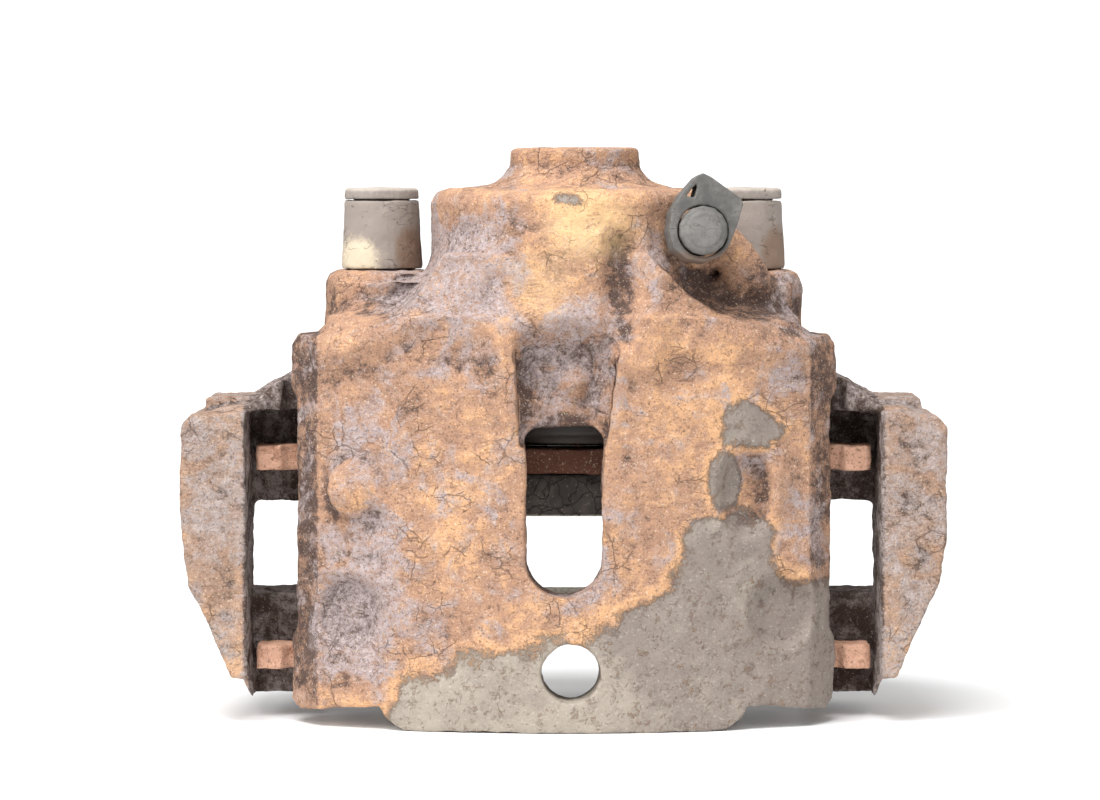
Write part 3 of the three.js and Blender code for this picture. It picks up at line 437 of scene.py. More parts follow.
def housing_finish():
    """Flaky rust all over, with bare iron where the bare mask and its own grain say so."""
    material, tree, shader = new_material("housing_rust")
    place = surface_place(tree)
    flakes = grain(tree, place, 3.4, 7.0, 0.72, 0.3)
    crumbs = grain(tree, place, 0.8, 3.0, 0.8)
    ragged = weigh(tree, (flakes, 0.5), (crumbs, 0.4))
    edge = weigh(tree, (mask(tree, "bare"), 1.0), (ragged, 1.0))
    bare = ease(tree, edge, 0.86, 1.05)
    fringe = maths(tree, "MULTIPLY", ease(tree, edge, 0.54, 0.84), 0.6)
    # the mask given to Darkening paints shade, with some soot, on the rust
    rust = place_group(
        tree,
        FLAKY_RUST,
        Depth=mask(tree, "shade_and_soot"),
        Scale_Cover=mask(tree, "scale"),
        Glow=maths(tree, "ADD", mask(tree, "glow"), fringe),
    )
    iron = place_group(tree, WORN_IRON, Pale=mask(tree, "pale"))
    straw = maths(tree, "MULTIPLY", mask(tree, "straw"), ease(tree, ragged, 0.34, 0.46))
    colour = blend_colours(tree, straw, rust["Color"], STRAW_STAIN)
    feed(tree, shader["Base Color"], blend_colours(tree, bare, colour, iron["Color"]))
    feed(tree, shader["Roughness"], mix_values(tree, bare, rust["Roughness"], iron["Roughness"]))
    shader["Specular IOR Level"].default_value = MATT_IRON
    raise_surface(tree, shader, mix_values(tree, bare, rust["Height"], iron["Height"]), HOUSING_BUMP)
    return material


# the bare patch's edge: how far across, then how high, from bottom left to right of the window
BARE_EDGE_X = (-50, -42, -28, -12, 4, 15, 23, 31, 38, 44)
BARE_EDGE_Z = (7, 15, 24, 27, 28, 33, 39, 46, 56, 60)
# each spot has its strength, its middle and reach across and up, and how firm its middle is
MAUVE_SCALE = {
    "left of the cylinder": (0.30, (-34, 125), (34, 22), 0.3),
    "lower left": (0.26, (-55, 33), (22, 30), 0.2),
    "right of the window": (0.10, (50, 66), (16, 16), 0.3),
    "above the window": (0.12, (0, 100), (20, 20), 0.3),
    "left side": (0.14, (-50, 78), (18, 26), 0.2),
}
ORANGE_GLOW = {
    "right shoulder": (0.9, (34, 88), (40, 36), 0.2),
    "left of the window": (0.9, (-28, 58), (24, 34), 0.2),
    "cylinder": (0.8, (-8, 122), (24, 22), 0.2),
    "cylinder top": (0.9, (2, 144), (26, 16), 0.2),
    "under the window": (0.5, (0, 36), (26, 12), 0.2),
    "left lug": (-0.4, (-50, 120), (20, 20), 0.3),
}
STRAW_STAINS = {
    "under the hose boss": (0.5, (7, 135), (17, 12), 0.2),
    "cylinder left": (0.2, (-6, 120), (14, 14), 0.1),
}
FRONT_SPOTS = {
    "knob over the window": (2.6, (2.9, 93.5), (5.5, 6.0), 0.1),
    "round pad": (1.3, (-55.9, 64.9), (9.0, 9.0), 0.45),
    "dip below the pad": (-1.6, (-50.0, 56.0), (6.5, 6.0), 0.0),
    "lower left recess": (-3.4, (-57.5, 31.0), (10.5, 12.5), 0.5),
    "right notch": (-4.6, (49.0, 64.0), (9.0, 14.0), 0.55),
    "edge of the right notch": (1.4, (57.0, 66.0), (6.0, 10.0), 0.2),
    "lower right recess": (-3.2, (58.5, 31.5), (10.5, 11.5), 0.6),
    "left shoulder dip": (-1.5, (-26, 100), (14, 10), 0.0),
    "right shoulder dip": (-1.2, (32, 96), (14, 9), 0.0),
}
# each ridge has its height, its two ends and its width; a negative one is a groove
FRONT_RIDGES = (
    (1.0, (-66, 43), (-48, 40), 3.2),
    (-2.8, (15.5, 130), (15.0, 106), 6.5),
    (2.2, (26, 122), (22, 100), 8.0),
    (1.8, (-15, 108), (-13.5, 84), 4.5),
    (1.6, (14.5, 106), (12.5, 84), 4.5),
    (2.4, (-26, 118), (-62, 101), 8.0),
    (2.0, (34, 116), (60, 101), 8.0),
    (-2.6, (-38, 130), (-46, 112), 5.0),
)


def bare_mask(x, y, z, wander):
    """1 where the rust has gone: low on the right, a patch above it and a spot on the crown."""
    rise = np.interp(x, BARE_EDGE_X, BARE_EDGE_Z)
    low_patch = smooth_step(-9.0, 8.0, rise - z + 0.8 * wander)
    top_patch = smooth_step(1.5, 0.6, np.hypot((x - 49.0) / 9.0, (z - 82.0) / 7.0) + 0.10 * wander)
    rusty_edge = smooth_step(54.0, 60.0, x + 0.5 * wander) * smooth_step(36.0, 48.0, z)
    lobe = spot(x, z, (39, 50), (12, 12), 0.5)
    neck = spot(x, z, (43, 67), (8, 14), 0.4)
    crown = smooth_step(2.0, -2.0, np.hypot((x - 1) / 2.4, z - 142.5) - 2.2 + 0.2 * wander)
    patches = [low_patch * (1 - rusty_edge), top_patch, lobe * (1 - rusty_edge), neck, crown]
    return np.maximum.reduce(patches) * smooth_step(-14.0, -20.0, y)


def painted_shade_mask(x, y, z):
    """1 where painted shade darkens the rust: the sides, the hollows and the inside of the window; it also
    darkens the hidden back.
    """
    # painted shade on the shaded sides, the trough over the window, round the right lug and shoulder and in
    # the lower left recess; the back below the bushes is darkened too
    shades = [
        0.55 * smooth_step(65.8, 66.8, np.abs(x)) * smooth_step(112.0, 106.0, z),
        0.2 * spot(x, z, (-2, 96), (14, 16), 0.4) * smooth_step(80.0, 83.0, z),
        0.5 * spot(x, z, (55, 113), (22, 17), 0.35),
        0.3 * spot(x, z, (36, 118), (16, 11), 0.2),
        0.25 * spot(x, z, (-58, 28), (16, 22), 0.2),
        0.4 * smooth_step(-20.0, -5.0, y) * smooth_step(140.0, 120.0, z),
        # painted shade on the inside of the window
        smooth_step(-46.0, -40.0, y) * smooth_step(12.5, 9.5, np.abs(x)) * spot(x, z, (0, 60), (16, 27), 0.9),
    ]
    return np.maximum.reduce(shades)


def housing_masks(piece):
    """Where the iron is bare, darkened by painted shade and soot, scaly, orange and straw-coloured, from its
    own places.
    """
    places = points_of(piece) / MM
    x, y, z = places.T
    wander = lumps(places, 9.0, 5, 3.1) * 5.0
    keep_mask(piece, "bare", 0.62 * bare_mask(x, y, z, wander))
    keep_mask(piece, "pale", 0.6 * smooth_step(42.0, 10.0, x + z * 0.7) - 0.5 * smooth_step(45, 60, x))
    # painted shade in the hollows, deeper where the surface lies further below its surroundings, and a little
    # painted light on the ridges
    hollow_shade = np.clip(hollowness(piece, 40), -0.15, 0.6)
    keep_mask(piece, "shade_and_soot", 0.24 * painted_shade_mask(x, y, z) + 0.24 * hollow_shade)
    keep_mask(piece, "scale", 0.22 + 0.10 * lumps(places, 24.0, 3, 8.0) + sum_of_spots(x, z, MAUVE_SCALE))
    glow = 0.55 * sum_of_spots(x, z, ORANGE_GLOW) + 0.3 * lumps(places, 12.0, 3, 6.0)
    keep_mask(piece, "glow", np.clip(glow, -0.6, 0.9))
    straw = np.clip(sum_of_spots(x, z, STRAW_STAINS), 0.0, 1.0)
    keep_mask(piece, "straw", straw * smooth_step(-14.0, -20.0, y))


def front_relief(x, z):
    """How far the casting's front stands proud at a place, in millimetres."""
    ridges = sum(height * ridge(x, z, start, end, width) for height, start, end, width in FRONT_RIDGES)
    return sum_of_spots(x, z, FRONT_SPOTS) + ridges


def fill_corners(piece, rounds, where):
    """Fills the inner corners of a casting with fillets; where is 1 in the places to fill."""
    places = points_of(piece)
    soft = softened(piece, rounds)
    depth = ((soft - places) * normals_of(piece)).sum(axis=1) / MM
    fill = np.clip(depth / 0.25, 0.0, 1.0) * where
    move_points(piece, places + (soft - places) * fill[:, None])


def wear_down(piece, rounds, where):
    """Rounds off what is sharp; where is 1 in the places to round."""
    places = points_of(piece)
    move_points(piece, places + (softened(piece, rounds) - places) * where[:, None])


# how much the rust has taken from a casting's surface, in millimetres
WASTED = 0.10
BUSH_PLACE = (50.0, -7.0)
BORE_PLACE = (3.0, -5.0)


def make_housing():
    """Melts the machined-looking solid back into a casting, then raises marks and rust on it."""
    piece = recast("housing_casting", "housing", 0.7 * MM, 5)
    x, y, z = (points_of(piece) / MM).T
    from_bushes = smooth_step(12.5, 14.5, np.hypot(np.abs(x) - BUSH_PLACE[0], y - BUSH_PLACE[1]))
    fill_corners(piece, 110, smooth_step(96.0, 102.0, z) * smooth_step(0.0, -10.0, y) * from_bushes)
    wear_down(piece, 120, ridge(x, z, (-62, 108), (62, 108), 9.0) * smooth_step(-22.0, -28.0, y))
    wear_down(piece, 30, 0.8 * spot(x, z, (0, 120), (24, 20), 0.6) * smooth_step(-22.0, -28.0, y))
    wear_down(piece, 90, spot(x, z, (50, 126), (15, 16), 0.6) * smooth_step(-19.0, -21.5, y) * from_bushes)
    places = points_of(piece)
    x, y, z = places.T / MM
    outward = normals_of(piece)
    facing = smooth_step(0.15, 0.6, -outward[:, 1]) * smooth_step(-12.0, -20.0, y)
    places[:, 1] -= front_relief(x, z) * facing * MM
    swell = 0.50 * lumps(places, 14 * MM, 4) + 0.30 * lumps(places, 4 * MM, 4, 7.0)
    # the bore stays smooth, or the piston would touch it
    from_bore = np.hypot(x - BORE_PLACE[0], y - BORE_PLACE[1])
    rough = smooth_step(30.0, 33.0, from_bore) + smooth_step(126.0, 130.0, z)
    swell *= np.clip(rough, 0.0, 1.0)
    move_points(piece, places + outward * (swell[:, None] - WASTED) * MM)
    housing_masks(piece)
    return set_in_place(piece, "housing", "housing", housing_finish())


make_housing()

# ---- Carrier -----------------------------------------------------------------------------------
# The second casting, bolted to the hub. Its two arms reach over the disc's rim and hold the pads'
# ears, and the guide pins stand in its bosses. It is darker, with painted shade between its arms and
# in its hollows, and more deeply pitted.


def rust_finish(name, depth, **settings):
    """A material of flaky rust alone, with its own colours and depth of surface."""
    material, tree, shader = new_material(name)
    # the mask given to Darkening paints shade, with some soot, on the rust
    rust = place_group(tree, FLAKY_RUST, Depth=mask(tree, "shade_and_soot"), Glow=mask(tree, "glow"), **settings)
    feed(tree, shader["Base Color"], rust["Color"])
    feed(tree, shader["Roughness"], rust["Roughness"])
    shader["Specular IOR Level"].default_value = MATT_IRON
    raise_surface(tree, shader, rust["Height"], depth)
    return material


CARRIER_RUST_COLOURS = {
    "Bright": (0.56, 0.34, 0.20, 1),
    "Middle": (0.32, 0.205, 0.145, 1),
    "Deep": (0.07, 0.045, 0.037, 1),
    "Scale": (0.40, 0.335, 0.315, 1),
}
ARM_INNER_FACE = 86.5


def make_carrier():
    """Roughens the carrier and paints shade on it, darkest between its arms and in its hollows."""
    piece = recast("carrier_casting", "carrier", 0.75 * MM, 5)
    places = points_of(piece)
    swell = 0.5 * lumps(places, 11 * MM, 4, 2.0) + 0.3 * lumps(places, 3.4 * MM, 4, 9.0)
    move_points(piece, places + normals_of(piece) * (swell[:, None] - WASTED) * MM)
    x, y, z = (points_of(piece) / MM).T
    inner = smooth_step(ARM_INNER_FACE + 1.0, ARM_INNER_FACE - 1.0, np.abs(x))
    # painted shade in the hollows, deeper where the surface lies further below its surroundings, and a little
    # painted light on the ridges
    hollow_shade = np.clip(hollowness(piece, 40), -0.15, 0.6)
    # painted shade between the arms and in the hollows, and a little darker towards the back
    keep_mask(piece, "shade_and_soot", 0.42 * inner + 0.10 * smooth_step(20.0, 40.0, y) + 0.30 * hollow_shade)
    glow = 0.7 * smooth_step(40.0, 18.0, z) + 0.25 * lumps(points_of(piece), 16 * MM, 3, 4.0)
    keep_mask(piece, "glow", glow * (1 - inner) - 0.2)
    finish = rust_finish("carrier_rust", 0.75 * MM, Scale_Cover=0.33, **CARRIER_RUST_COLOURS)
    return set_in_place(piece, "carrier", "carrier", finish)


make_carrier()

# ---- Guide bushes and lids ---------------------------------------------------------------------
# Two moulded rubber sleeves pressed into the lugs, which slide on the guide pins. They have gone
# hard and pale, with road dust dried on them, and each is closed by a push-in plastic lid.


def make_aged_rubber():
    """Old moulded rubber or plastic with dried dust, rust freckles and fine cracks."""
    group, given, result = new_group(
        "aged_rubber",
        [
            ("Body", "Color", (0.25, 0.21, 0.185, 1)),
            ("Dust", "Color", (0.36, 0.31, 0.27, 1)),
            ("Stain", "Color", (0.20, 0.12, 0.075, 1)),
            ("Dusty", "Float", 0.0),
            ("Stained", "Float", 0.0),
        ],
        [("Color", "Color"), ("Roughness", "Float"), ("Height", "Float")],
    )
    place = surface_place(group)
    cloud = grain(group, place, 7.0, 6.0, 0.65, 0.4)
    mottle = grain(group, place, 1.6, 5.0, 0.75)
    dust = grain(group, place, 0.35, 3.0, 0.8)
    lying = weigh(group, (cloud, 0.7), (mottle, 0.4), (dust, 0.2), (given["Dusty"], 0.5))
    colour = blend_colours(group, ease(group, lying, 0.52, 0.90), given["Body"], given["Dust"])
    stain_and_shade = weigh(group, (mottle, 0.5), (cloud, 0.3), (given["Stained"], 0.8))
    colour = blend_colours(group, ease(group, stain_and_shade, 0.55, 0.95, 0.0, 0.85), colour, given["Stain"])
    freckles = ease(group, grain(group, place, 0.9, 4.0, 0.8), 0.665, 0.72, 0.0, 0.55)
    rust_freckle = (0.42, 0.20, 0.09, 1)
    colour = blend_colours(group, freckles, colour, rust_freckle)
    splits = cracks(group, surface_place(group, (0.8, 0.8, 1.6)), 6.0, 1.5)
    gap = maths(group, "MULTIPLY", ease(group, splits, 0.030, 0.0), ease(group, cloud, 0.46, 0.6))
    in_the_cracks = (0.05, 0.04, 0.035, 1)
    colour = blend_colours(group, maths(group, "MULTIPLY", gap, 0.6), colour, in_the_cracks)
    feed(group, result["Color"], colour)
    feed(group, result["Roughness"], ease(group, lying, 0.5, 0.9, 0.55, 0.85))
    feed(group, result["Height"], weigh(group, (mottle, 0.5), (dust, 0.25), (cloud, 0.4), (gap, -0.8)))
    return group


AGED_RUBBER = make_aged_rubber()


def rubber_finish(name, depth, gloss, **settings):
    """A material of aged rubber with its own colours, depth of surface and gloss."""
    material, tree, shader = new_material(name)
    rubber = place_group(
        tree, AGED_RUBBER, Dusty=mask(tree, "dust_and_light"), Stained=mask(tree, "stain_and_shade"), **settings
    )
    feed(tree, shader["Base Color"], rubber["Color"])
    feed(tree, shader["Roughness"], rubber["Roughness"])
    shader["Specular IOR Level"].default_value = gloss
    raise_surface(tree, shader, rubber["Height"], depth)
    return material


def soft_copy(name, node, voxel, wobble):
    """A recast piece whose moulded or worn surface is slightly uneven."""
    piece = recast(name, node, voxel, 4)
    places = points_of(piece)
    unevenness = wobble * lumps(places, 7 * MM, 3, 5.0) - 0.05
    move_points(piece, places + normals_of(piece) * unevenness[:, None] * MM)
    return piece


def make_bush(side, finish):
    """A sleeve with dust dried low on its left side, stained brown on its right side and where it meets the
    lug; the paler left and darker right are partly painted light and shade.
    """
    name = "guide_bush_" + side
    piece = soft_copy(name + "_rubber", name, 0.45 * MM, 0.22)
    x, _, z = (points_of(piece) / MM).T
    outward = 1 if side == "right" else -1
    from_pin = x - outward * BUSH_PLACE[0]
    # the left side is paler with dust and painted light, the right side and the foot darker with stain and
    # painted shade, the same on both bushes
    keep_mask(piece, "dust_and_light", 1.15 * spot(from_pin, z, (-6.0, 126.0), (8.0, 9.0), 0.1) - 0.25)
    keep_mask(piece, "stain_and_shade", spot(from_pin, z, (8.0, 128.0), (7.0, 12.0)) + smooth_step(123.0, 118.0, z))
    return set_in_place(piece, name, "housing", finish)


def make_lid(side, finish):
    """A lid, dusty on top and stained round its rim."""
    name = "bush_cap_" + side
    piece = soft_copy(name + "_lid", name, 0.35 * MM, 0.12)
    z = points_of(piece)[:, 2] / MM
    keep_mask(piece, "dust_and_light", 0.5 * smooth_step(144.0, 145.5, z))
    keep_mask(piece, "stain_and_shade", 0.25 * smooth_step(144.2, 143.0, z))
    return set_in_place(piece, name, name, finish)


BUSH_RUBBER = rubber_finish(
    "dusty_bush_rubber", 0.35 * MM, 0.3, Dust=(0.54, 0.46, 0.34, 1), Stain=(0.19, 0.12, 0.08, 1)
)
LID_PLASTIC = rubber_finish(
    "dusty_lid_plastic", 0.25 * MM, 0.35, Body=(0.22, 0.19, 0.17, 1), Dust=(0.37, 0.32, 0.28, 1)
)
SIDES = ("left", "right")
for side in SIDES:
    make_bush(side, BUSH_RUBBER)
    make_lid(side, LID_PLASTIC)

# ---- Guide pins --------------------------------------------------------------------------------
# Turned steel pins with socket heads, screwed into the carrier. Only a short dull stretch shows
# between each bush and the carrier's boss.


def make_turned_steel():
    """Machined steel with fine turning marks, light tarnish and a little rust bloom."""
    group, given, result = new_group(
        "turned_steel",
        [
            ("Steel", "Color", (0.50, 0.49, 0.47, 1)),
            ("Tarnish", "Color", (0.25, 0.21, 0.18, 1)),
            ("Bloom", "Color", (0.34, 0.17, 0.08, 1)),
            ("Rusted", "Float", 0.3),
        ],
        [("Color", "Color"), ("Metallic", "Float"), ("Roughness", "Float"), ("Height", "Float")],
    )
    place = surface_place(group)
    lines = grain(group, surface_place(group, (0.08, 0.08, 6.0)), 1.2, 3.0, 0.6)
    cloud = grain(group, place, 6.0, 6.0, 0.65, 0.5)
    fine = grain(group, place, 0.7, 4.0, 0.75)
    tarnish = ease(group, weigh(group, (cloud, 0.7), (lines, 0.3)), 0.45, 0.65)
    colour = blend_colours(group, tarnish, given["Steel"], given["Tarnish"])
    bloom = ease(group, weigh(group, (cloud, 0.5), (fine, 0.5), (given["Rusted"], 0.3)), 0.62, 0.74)
    feed(group, result["Color"], blend_colours(group, bloom, colour, given["Bloom"]))
    feed(group, result["Metallic"], maths(group, "SUBTRACT", 1.0, bloom))
    rough = weigh(group, (tarnish, 0.2), (bloom, 0.4), (fine, 0.15), (1.0, 0.2))
    feed(group, result["Roughness"], rough)
    feed(group, result["Height"], weigh(group, (lines, 0.3), (fine, 0.2), (bloom, 0.5)))
    return group


TURNED_STEEL = make_turned_steel()


def steel_finish(name, depth, **settings):
    """A material of turned steel with its own colours and depth of surface."""
    material, tree, shader = new_material(name)
    steel = place_group(tree, TURNED_STEEL, **settings)
    feed(tree, shader["Base Color"], steel["Color"])
    feed(tree, shader["Metallic"], steel["Metallic"])
    feed(tree, shader["Roughness"], steel["Roughness"])
    raise_surface(tree, shader, steel["Height"], depth)
    return material


PIN_STEEL = steel_finish("guide_pin_steel", 0.08 * MM, Rusted=0.25)
for side in SIDES:
    pin_node = "guide_pin_" + side
    pin = recast(pin_node + "_steel", pin_node, 0.35 * MM, 2)
    set_in_place(pin, pin_node, "carrier", PIN_STEEL)

# ---- Brake pads --------------------------------------------------------------------------------
# Each pad is a blanked steel plate with a slab of friction compound moulded on it. The plates'
# ears sit in the carrier and have rusted bright copper-brown, and the inner pad has a thin
# noise shim and a spring clip that holds it in the piston.


def lining_finish():
    """Friction compound: dark resin full of metal flecks and fibres, dusty and crazed, its rubbed face pale
    from wear and painted light.
    """
    material, tree, shader = new_material("friction_compound")
    place = surface_place(tree)
    cloud = grain(tree, place, 9.0, 5.0, 0.6)
    crumbs = grain(tree, place, 0.9, 4.0, 0.8)
    flecks = pits(tree, place, 1.1, 0.22)
    dark_resin = (0.055, 0.048, 0.044, 1)
    pale_resin = (0.10, 0.085, 0.075, 1)
    # the rubbed face is pale from wear and made paler still as painted light, as it sits in shade under the
    # bridge
    rubbed_and_lit_face = (0.84, 0.79, 0.70, 1)
    fibre = (0.42, 0.34, 0.26, 1)
    in_the_cracks = (0.02, 0.018, 0.016, 1)
    colour = blend_colours(tree, ease(tree, cloud, 0.4, 0.65), dark_resin, pale_resin)
    worn = maths(tree, "MULTIPLY", mask(tree, "worn"), ease(tree, crumbs, 0.25, 0.4))
    colour = blend_colours(tree, worn, colour, rubbed_and_lit_face)
    colour = blend_colours(tree, maths(tree, "MULTIPLY", flecks, 0.4), colour, fibre)
    split = ease(tree, cracks(tree, place, 5.0, 1.0), 0.04, 0.0)
    colour = blend_colours(tree, maths(tree, "MULTIPLY", split, 0.7), colour, in_the_cracks)
    feed(tree, shader["Base Color"], colour)
    feed(tree, shader["Roughness"], ease(tree, crumbs, 0.3, 0.7, 0.8, 0.97))
    shader["Specular IOR Level"].default_value = 0.2
    raise_surface(tree, shader, weigh(tree, (crumbs, 0.6), (cloud, 0.4), (split, -0.7)), 0.4 * MM)
    return material


# the plates' ears are the ends beyond this, either side of the middle
EAR_START = 70.0


def make_pad(which, body, lining, plate):
    """A slab of compound on its backing plate; the plate's middle is darkened with soot and painted shade,
    and only its ears stay bright.
    """
    slab_node = which + "_pad_lining"
    slab = recast(which + "_pad_compound", slab_node, 0.7 * MM, 3)
    z = points_of(slab)[:, 2] / MM
    low, high = (corner[2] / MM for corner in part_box(slab_node))
    # the inner pad faces down to the disc, the outer pad up
    if which == "outer":
        rubbed_and_lit = smooth_step(high - 5.0, high - 1.0, z)
    else:
        rubbed_and_lit = smooth_step(low + 0.6, low + 0.1, z)
    # this mask of the rubbed face also carries the painted light that brightens it
    keep_mask(slab, "worn", rubbed_and_lit)
    set_in_place(slab, slab_node, body, lining)
    plate_node = which + "_pad_plate"
    backing = recast(which + "_pad_backing", plate_node, 0.55 * MM, 4)
    places = points_of(backing)
    swell = 0.32 * lumps(places, 3.5 * MM, 4, 6.0)
    move_points(backing, places + normals_of(backing) * (swell[:, None] - 0.05) * MM)
    across = np.abs(points_of(backing)[:, 0]) / MM
    # the plate's middle, deep inside the caliper, gets soot and painted shade
    keep_mask(backing, "shade_and_soot", 0.85 * smooth_step(EAR_START + 3.0, EAR_START - 4.0, across))
    keep_mask(backing, "glow", 0.9 * smooth_step(EAR_START, EAR_START + 6.0, across))
    set_in_place(backing, plate_node, body, plate)


FRICTION_COMPOUND = lining_finish()
PLATE_RUST = rust_finish(
    "copper_plate_rust",
    0.6 * MM,
    Bright=(0.80, 0.47, 0.33, 1),
    Middle=(0.50, 0.24, 0.15, 1),
    Deep=(0.13, 0.055, 0.035, 1),
    Scale_Cover=0.05,
)
make_pad("inner", "piston", FRICTION_COMPOUND, PLATE_RUST)
make_pad("outer", "outer_pad", FRICTION_COMPOUND, PLATE_RUST)
shim = recast("inner_pad_noise_shim", "inner_pad_shim", 0.3 * MM, 1)
SHIM_STEEL = steel_finish(
    "coated_shim_steel", 0.06 * MM, Steel=(0.10, 0.095, 0.09, 1), Tarnish=(0.06, 0.055, 0.05, 1), Rusted=0.35
)
set_in_place(shim, "inner_pad_shim", "piston", SHIM_STEEL)
clip = recast("inner_pad_spring_clip", "inner_pad_clip", 0.25 * MM, 2)
SPRING_STEEL = steel_finish(
    "blued_spring_steel", 0.05 * MM, Steel=(0.26, 0.26, 0.28, 1), Tarnish=(0.14, 0.12, 0.13, 1), Rusted=0.1
)
set_in_place(clip, "inner_pad_clip", "piston", SPRING_STEEL)

# ---- Piston, seal and dust boot ----------------------------------------------------------------
# A ground and plated steel cup slides in the cylinder. A square rubber ring seals it, and a
# folded rubber boot between the cylinder's mouth and the piston keeps the wet out.


def plain_rubber_piece(name, node, voxel):
    """A clean moulded piece, black and free of dust: partly the rubber's own colour, partly painted shade for
    the boot deep in the shaded window.
    """
    piece = soft_copy(name, node, voxel, 0.05)
    count = len(piece.data.vertices)
    keep_mask(piece, "dust_and_light", np.full(count, -0.3))
    keep_mask(piece, "stain_and_shade", np.full(count, -0.2))
    return piece


# very dark rubber, partly its own black and partly painted shade where the boot sits deep in the window
BLACK_RUBBER = rubber_finish(
    "black_rubber", 0.15 * MM, 0.35, Body=(0.026, 0.021, 0.019, 1), Dust=(0.045, 0.034, 0.029, 1)
)
PISTON_COLOURS = {
    "Steel": (0.58, 0.57, 0.55, 1),
    "Tarnish": (0.40, 0.37, 0.33, 1),
    "Bloom": (0.045, 0.034, 0.028, 1),
}


def make_piston():
    """The cup is bright where the seal wipes it, and caked with brake dust outside the boot."""
    piece = recast("piston_cup", "piston", 0.5 * MM, 2)
    z = points_of(piece)[:, 2] / MM
    keep_mask(piece, "caked", 3.0 * smooth_step(85.0, 80.0, z))
    material, tree, shader = new_material("piston_plating")
    steel = place_group(tree, TURNED_STEEL, Rusted=mask(tree, "caked"), **PISTON_COLOURS)
    for label, socket in (("Color", "Base Color"), ("Metallic", "Metallic"), ("Roughness", "Roughness")):
        feed(tree, shader[socket], steel[label])
    raise_surface(tree, shader, steel["Height"], 0.03 * MM)
    return set_in_place(piece, "piston", "piston", material)


make_piston()
seal = plain_rubber_piece("piston_seal_ring", "piston_seal", 0.4 * MM)
set_in_place(seal, "piston_seal", "housing", BLACK_RUBBER)
boot = plain_rubber_piece("dust_boot_bellows", "dust_boot", 0.35 * MM)
boot.data.materials.append(BLACK_RUBBER)
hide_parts("dust_boot")
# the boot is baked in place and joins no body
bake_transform(boot)

# ---- Bleed screw, cap and strap ----------------------------------------------------------------
# The plated screw that lets air out of the cylinder, its push-on rubber cap, and the moulded
# band round the cap that would keep it on the screw. The rubber is greyed but sound.

BLEED_STEEL = steel_finish(
    "bleed_screw_steel", 0.06 * MM, Steel=(0.42, 0.37, 0.28, 1), Tarnish=(0.24, 0.19, 0.13, 1), Rusted=0.5
)
CAP_RUBBER = rubber_finish(
    "greyed_cap_rubber",
    0.12 * MM,
    0.5,
    Body=(0.072, 0.069, 0.065, 1),
    Dust=(0.165, 0.155, 0.145, 1),
    Stain=(0.13, 0.085, 0.06, 1),
)
screw = recast("bleed_screw_body", "bleed_screw", 0.25 * MM, 2)
set_in_place(screw, "bleed_screw", "bleed_screw", BLEED_STEEL)


def make_cap_piece(name, node, dust_and_light, stain_and_shade):
    """The cap or its band: dusty in front and stained brown low down."""
    piece = soft_copy(name, node, 0.28 * MM, 0.10)
    _, y, z = (points_of(piece) / MM).T
    keep_mask(piece, "dust_and_light", dust_and_light * smooth_step(-46.0, -48.5, y))
    keep_mask(piece, "stain_and_shade", stain_and_shade * smooth_step(132.0, 126.0, z))
    return set_in_place(piece, node, "bleed_cap", CAP_RUBBER)


make_cap_piece("bleed_cap_rubber", "bleed_cap", 0.25, 0.4)
make_cap_piece("bleed_cap_band", "bleed_cap_strap", 0.1, 0.7)

# ---- Studio ------------------------------------------------------------------------------------
# A pale sweep under and behind the caliper, soft light from all round and a long lens.


FLOOR_WIDTH = 6.0
SWEEP_WHITE = (0.92, 0.92, 0.92, 1)
SOLID_TO = 0.16
GONE_BY = 0.55


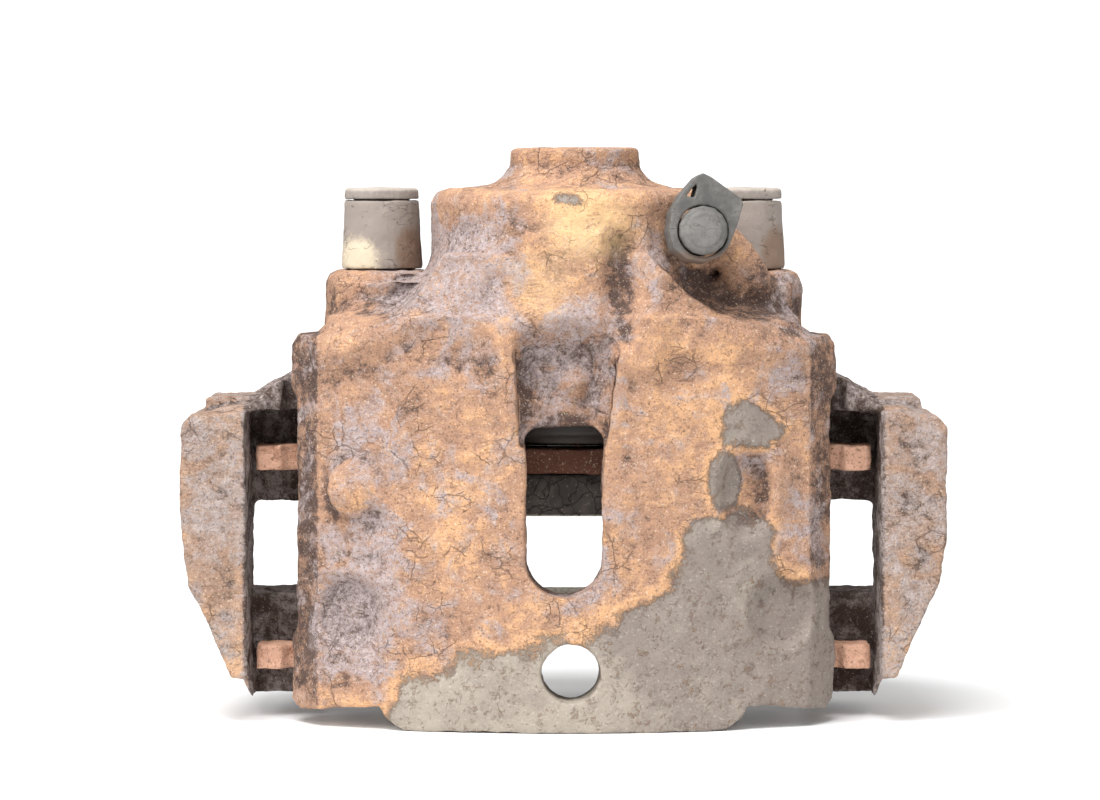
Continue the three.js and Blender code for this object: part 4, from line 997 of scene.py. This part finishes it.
def make_floor():
    """A white sweep that fades into the white wall behind it."""
    bpy.ops.mesh.primitive_plane_add(size=FLOOR_WIDTH, location=(0, 0, cad_low.z))
    floor = bpy.context.object
    floor.name = "studio_floor"
    material, tree, shader = new_material("white_sweep")
    shader["Base Color"].default_value = SWEEP_WHITE
    shader["Roughness"].default_value = 0.35
    distance = tree.nodes.new("ShaderNodeVectorMath")
    distance.operation = "LENGTH"
    tree.links.new(tree.nodes.new("ShaderNodeTexCoord").outputs["Object"], distance.inputs[0])
    feed(tree, shader["Alpha"], ease(tree, distance.outputs["Value"], SOLID_TO, GONE_BY, 1.0, 0.0))
    floor.data.materials.append(material)


def softbox(name, place, target, size, power):
    """A rectangular lamp of the given width, height and watts, turned to its target."""
    light = bpy.data.lights.new(name, "AREA")
    light.shape = "RECTANGLE"
    light.size, light.size_y = size
    light.energy = power
    lamp = bpy.data.objects.new(name, light)
    lamp.location = place
    aim = Vector(target) - Vector(place)
    lamp.rotation_euler = aim.to_track_quat("-Z", "Y").to_euler()
    scene.collection.objects.link(lamp)


def make_camera():
    """A long lens a metre away, just above the caliper and looking slightly down."""
    eye_left = -0.0037
    eye_height = 0.1476
    front_distance = 1.05
    drop = math.radians(3.18)
    camera = bpy.data.cameras.new("long_lens")
    camera.sensor_width = 36.0
    camera.lens = 129.7
    holder = bpy.data.objects.new("long_lens", camera)
    holder.location = (eye_left, cad_low.y - front_distance, eye_height)
    holder.rotation_euler = (math.pi / 2 - drop, 0, 0)
    scene.collection.objects.link(holder)
    scene.camera = holder


make_floor()
make_camera()
MIDDLE = (0, 0, 0.08)
TALL_BOX = (0.6, 0.8)
softbox("overhead", (-0.25, -0.55, 1.3), (0, 0, 0.07), (0.9, 0.7), 30)
softbox("left_front", (-1.1, -0.8, 0.7), MIDDLE, TALL_BOX, 10.5)
softbox("right_front", (1.1, -0.8, 0.4), MIDDLE, TALL_BOX, 3.5)
world = bpy.data.worlds.new("white_room")
world.use_nodes = True
backdrop = world.node_tree.nodes["Background"].inputs
backdrop["Color"].default_value = (1, 1, 1, 1)
# the eye sees a white wall, but the wall gives the caliper only soft fill light
WALL_FILL = 0.64
WALL_SEEN = 1.3
seen = world.node_tree.nodes.new("ShaderNodeLightPath").outputs["Is Camera Ray"]
feed(world.node_tree, backdrop["Strength"], mix_values(world.node_tree, seen, WALL_FILL, WALL_SEEN))
scene.world = world
scene.view_settings.view_transform = "Standard"
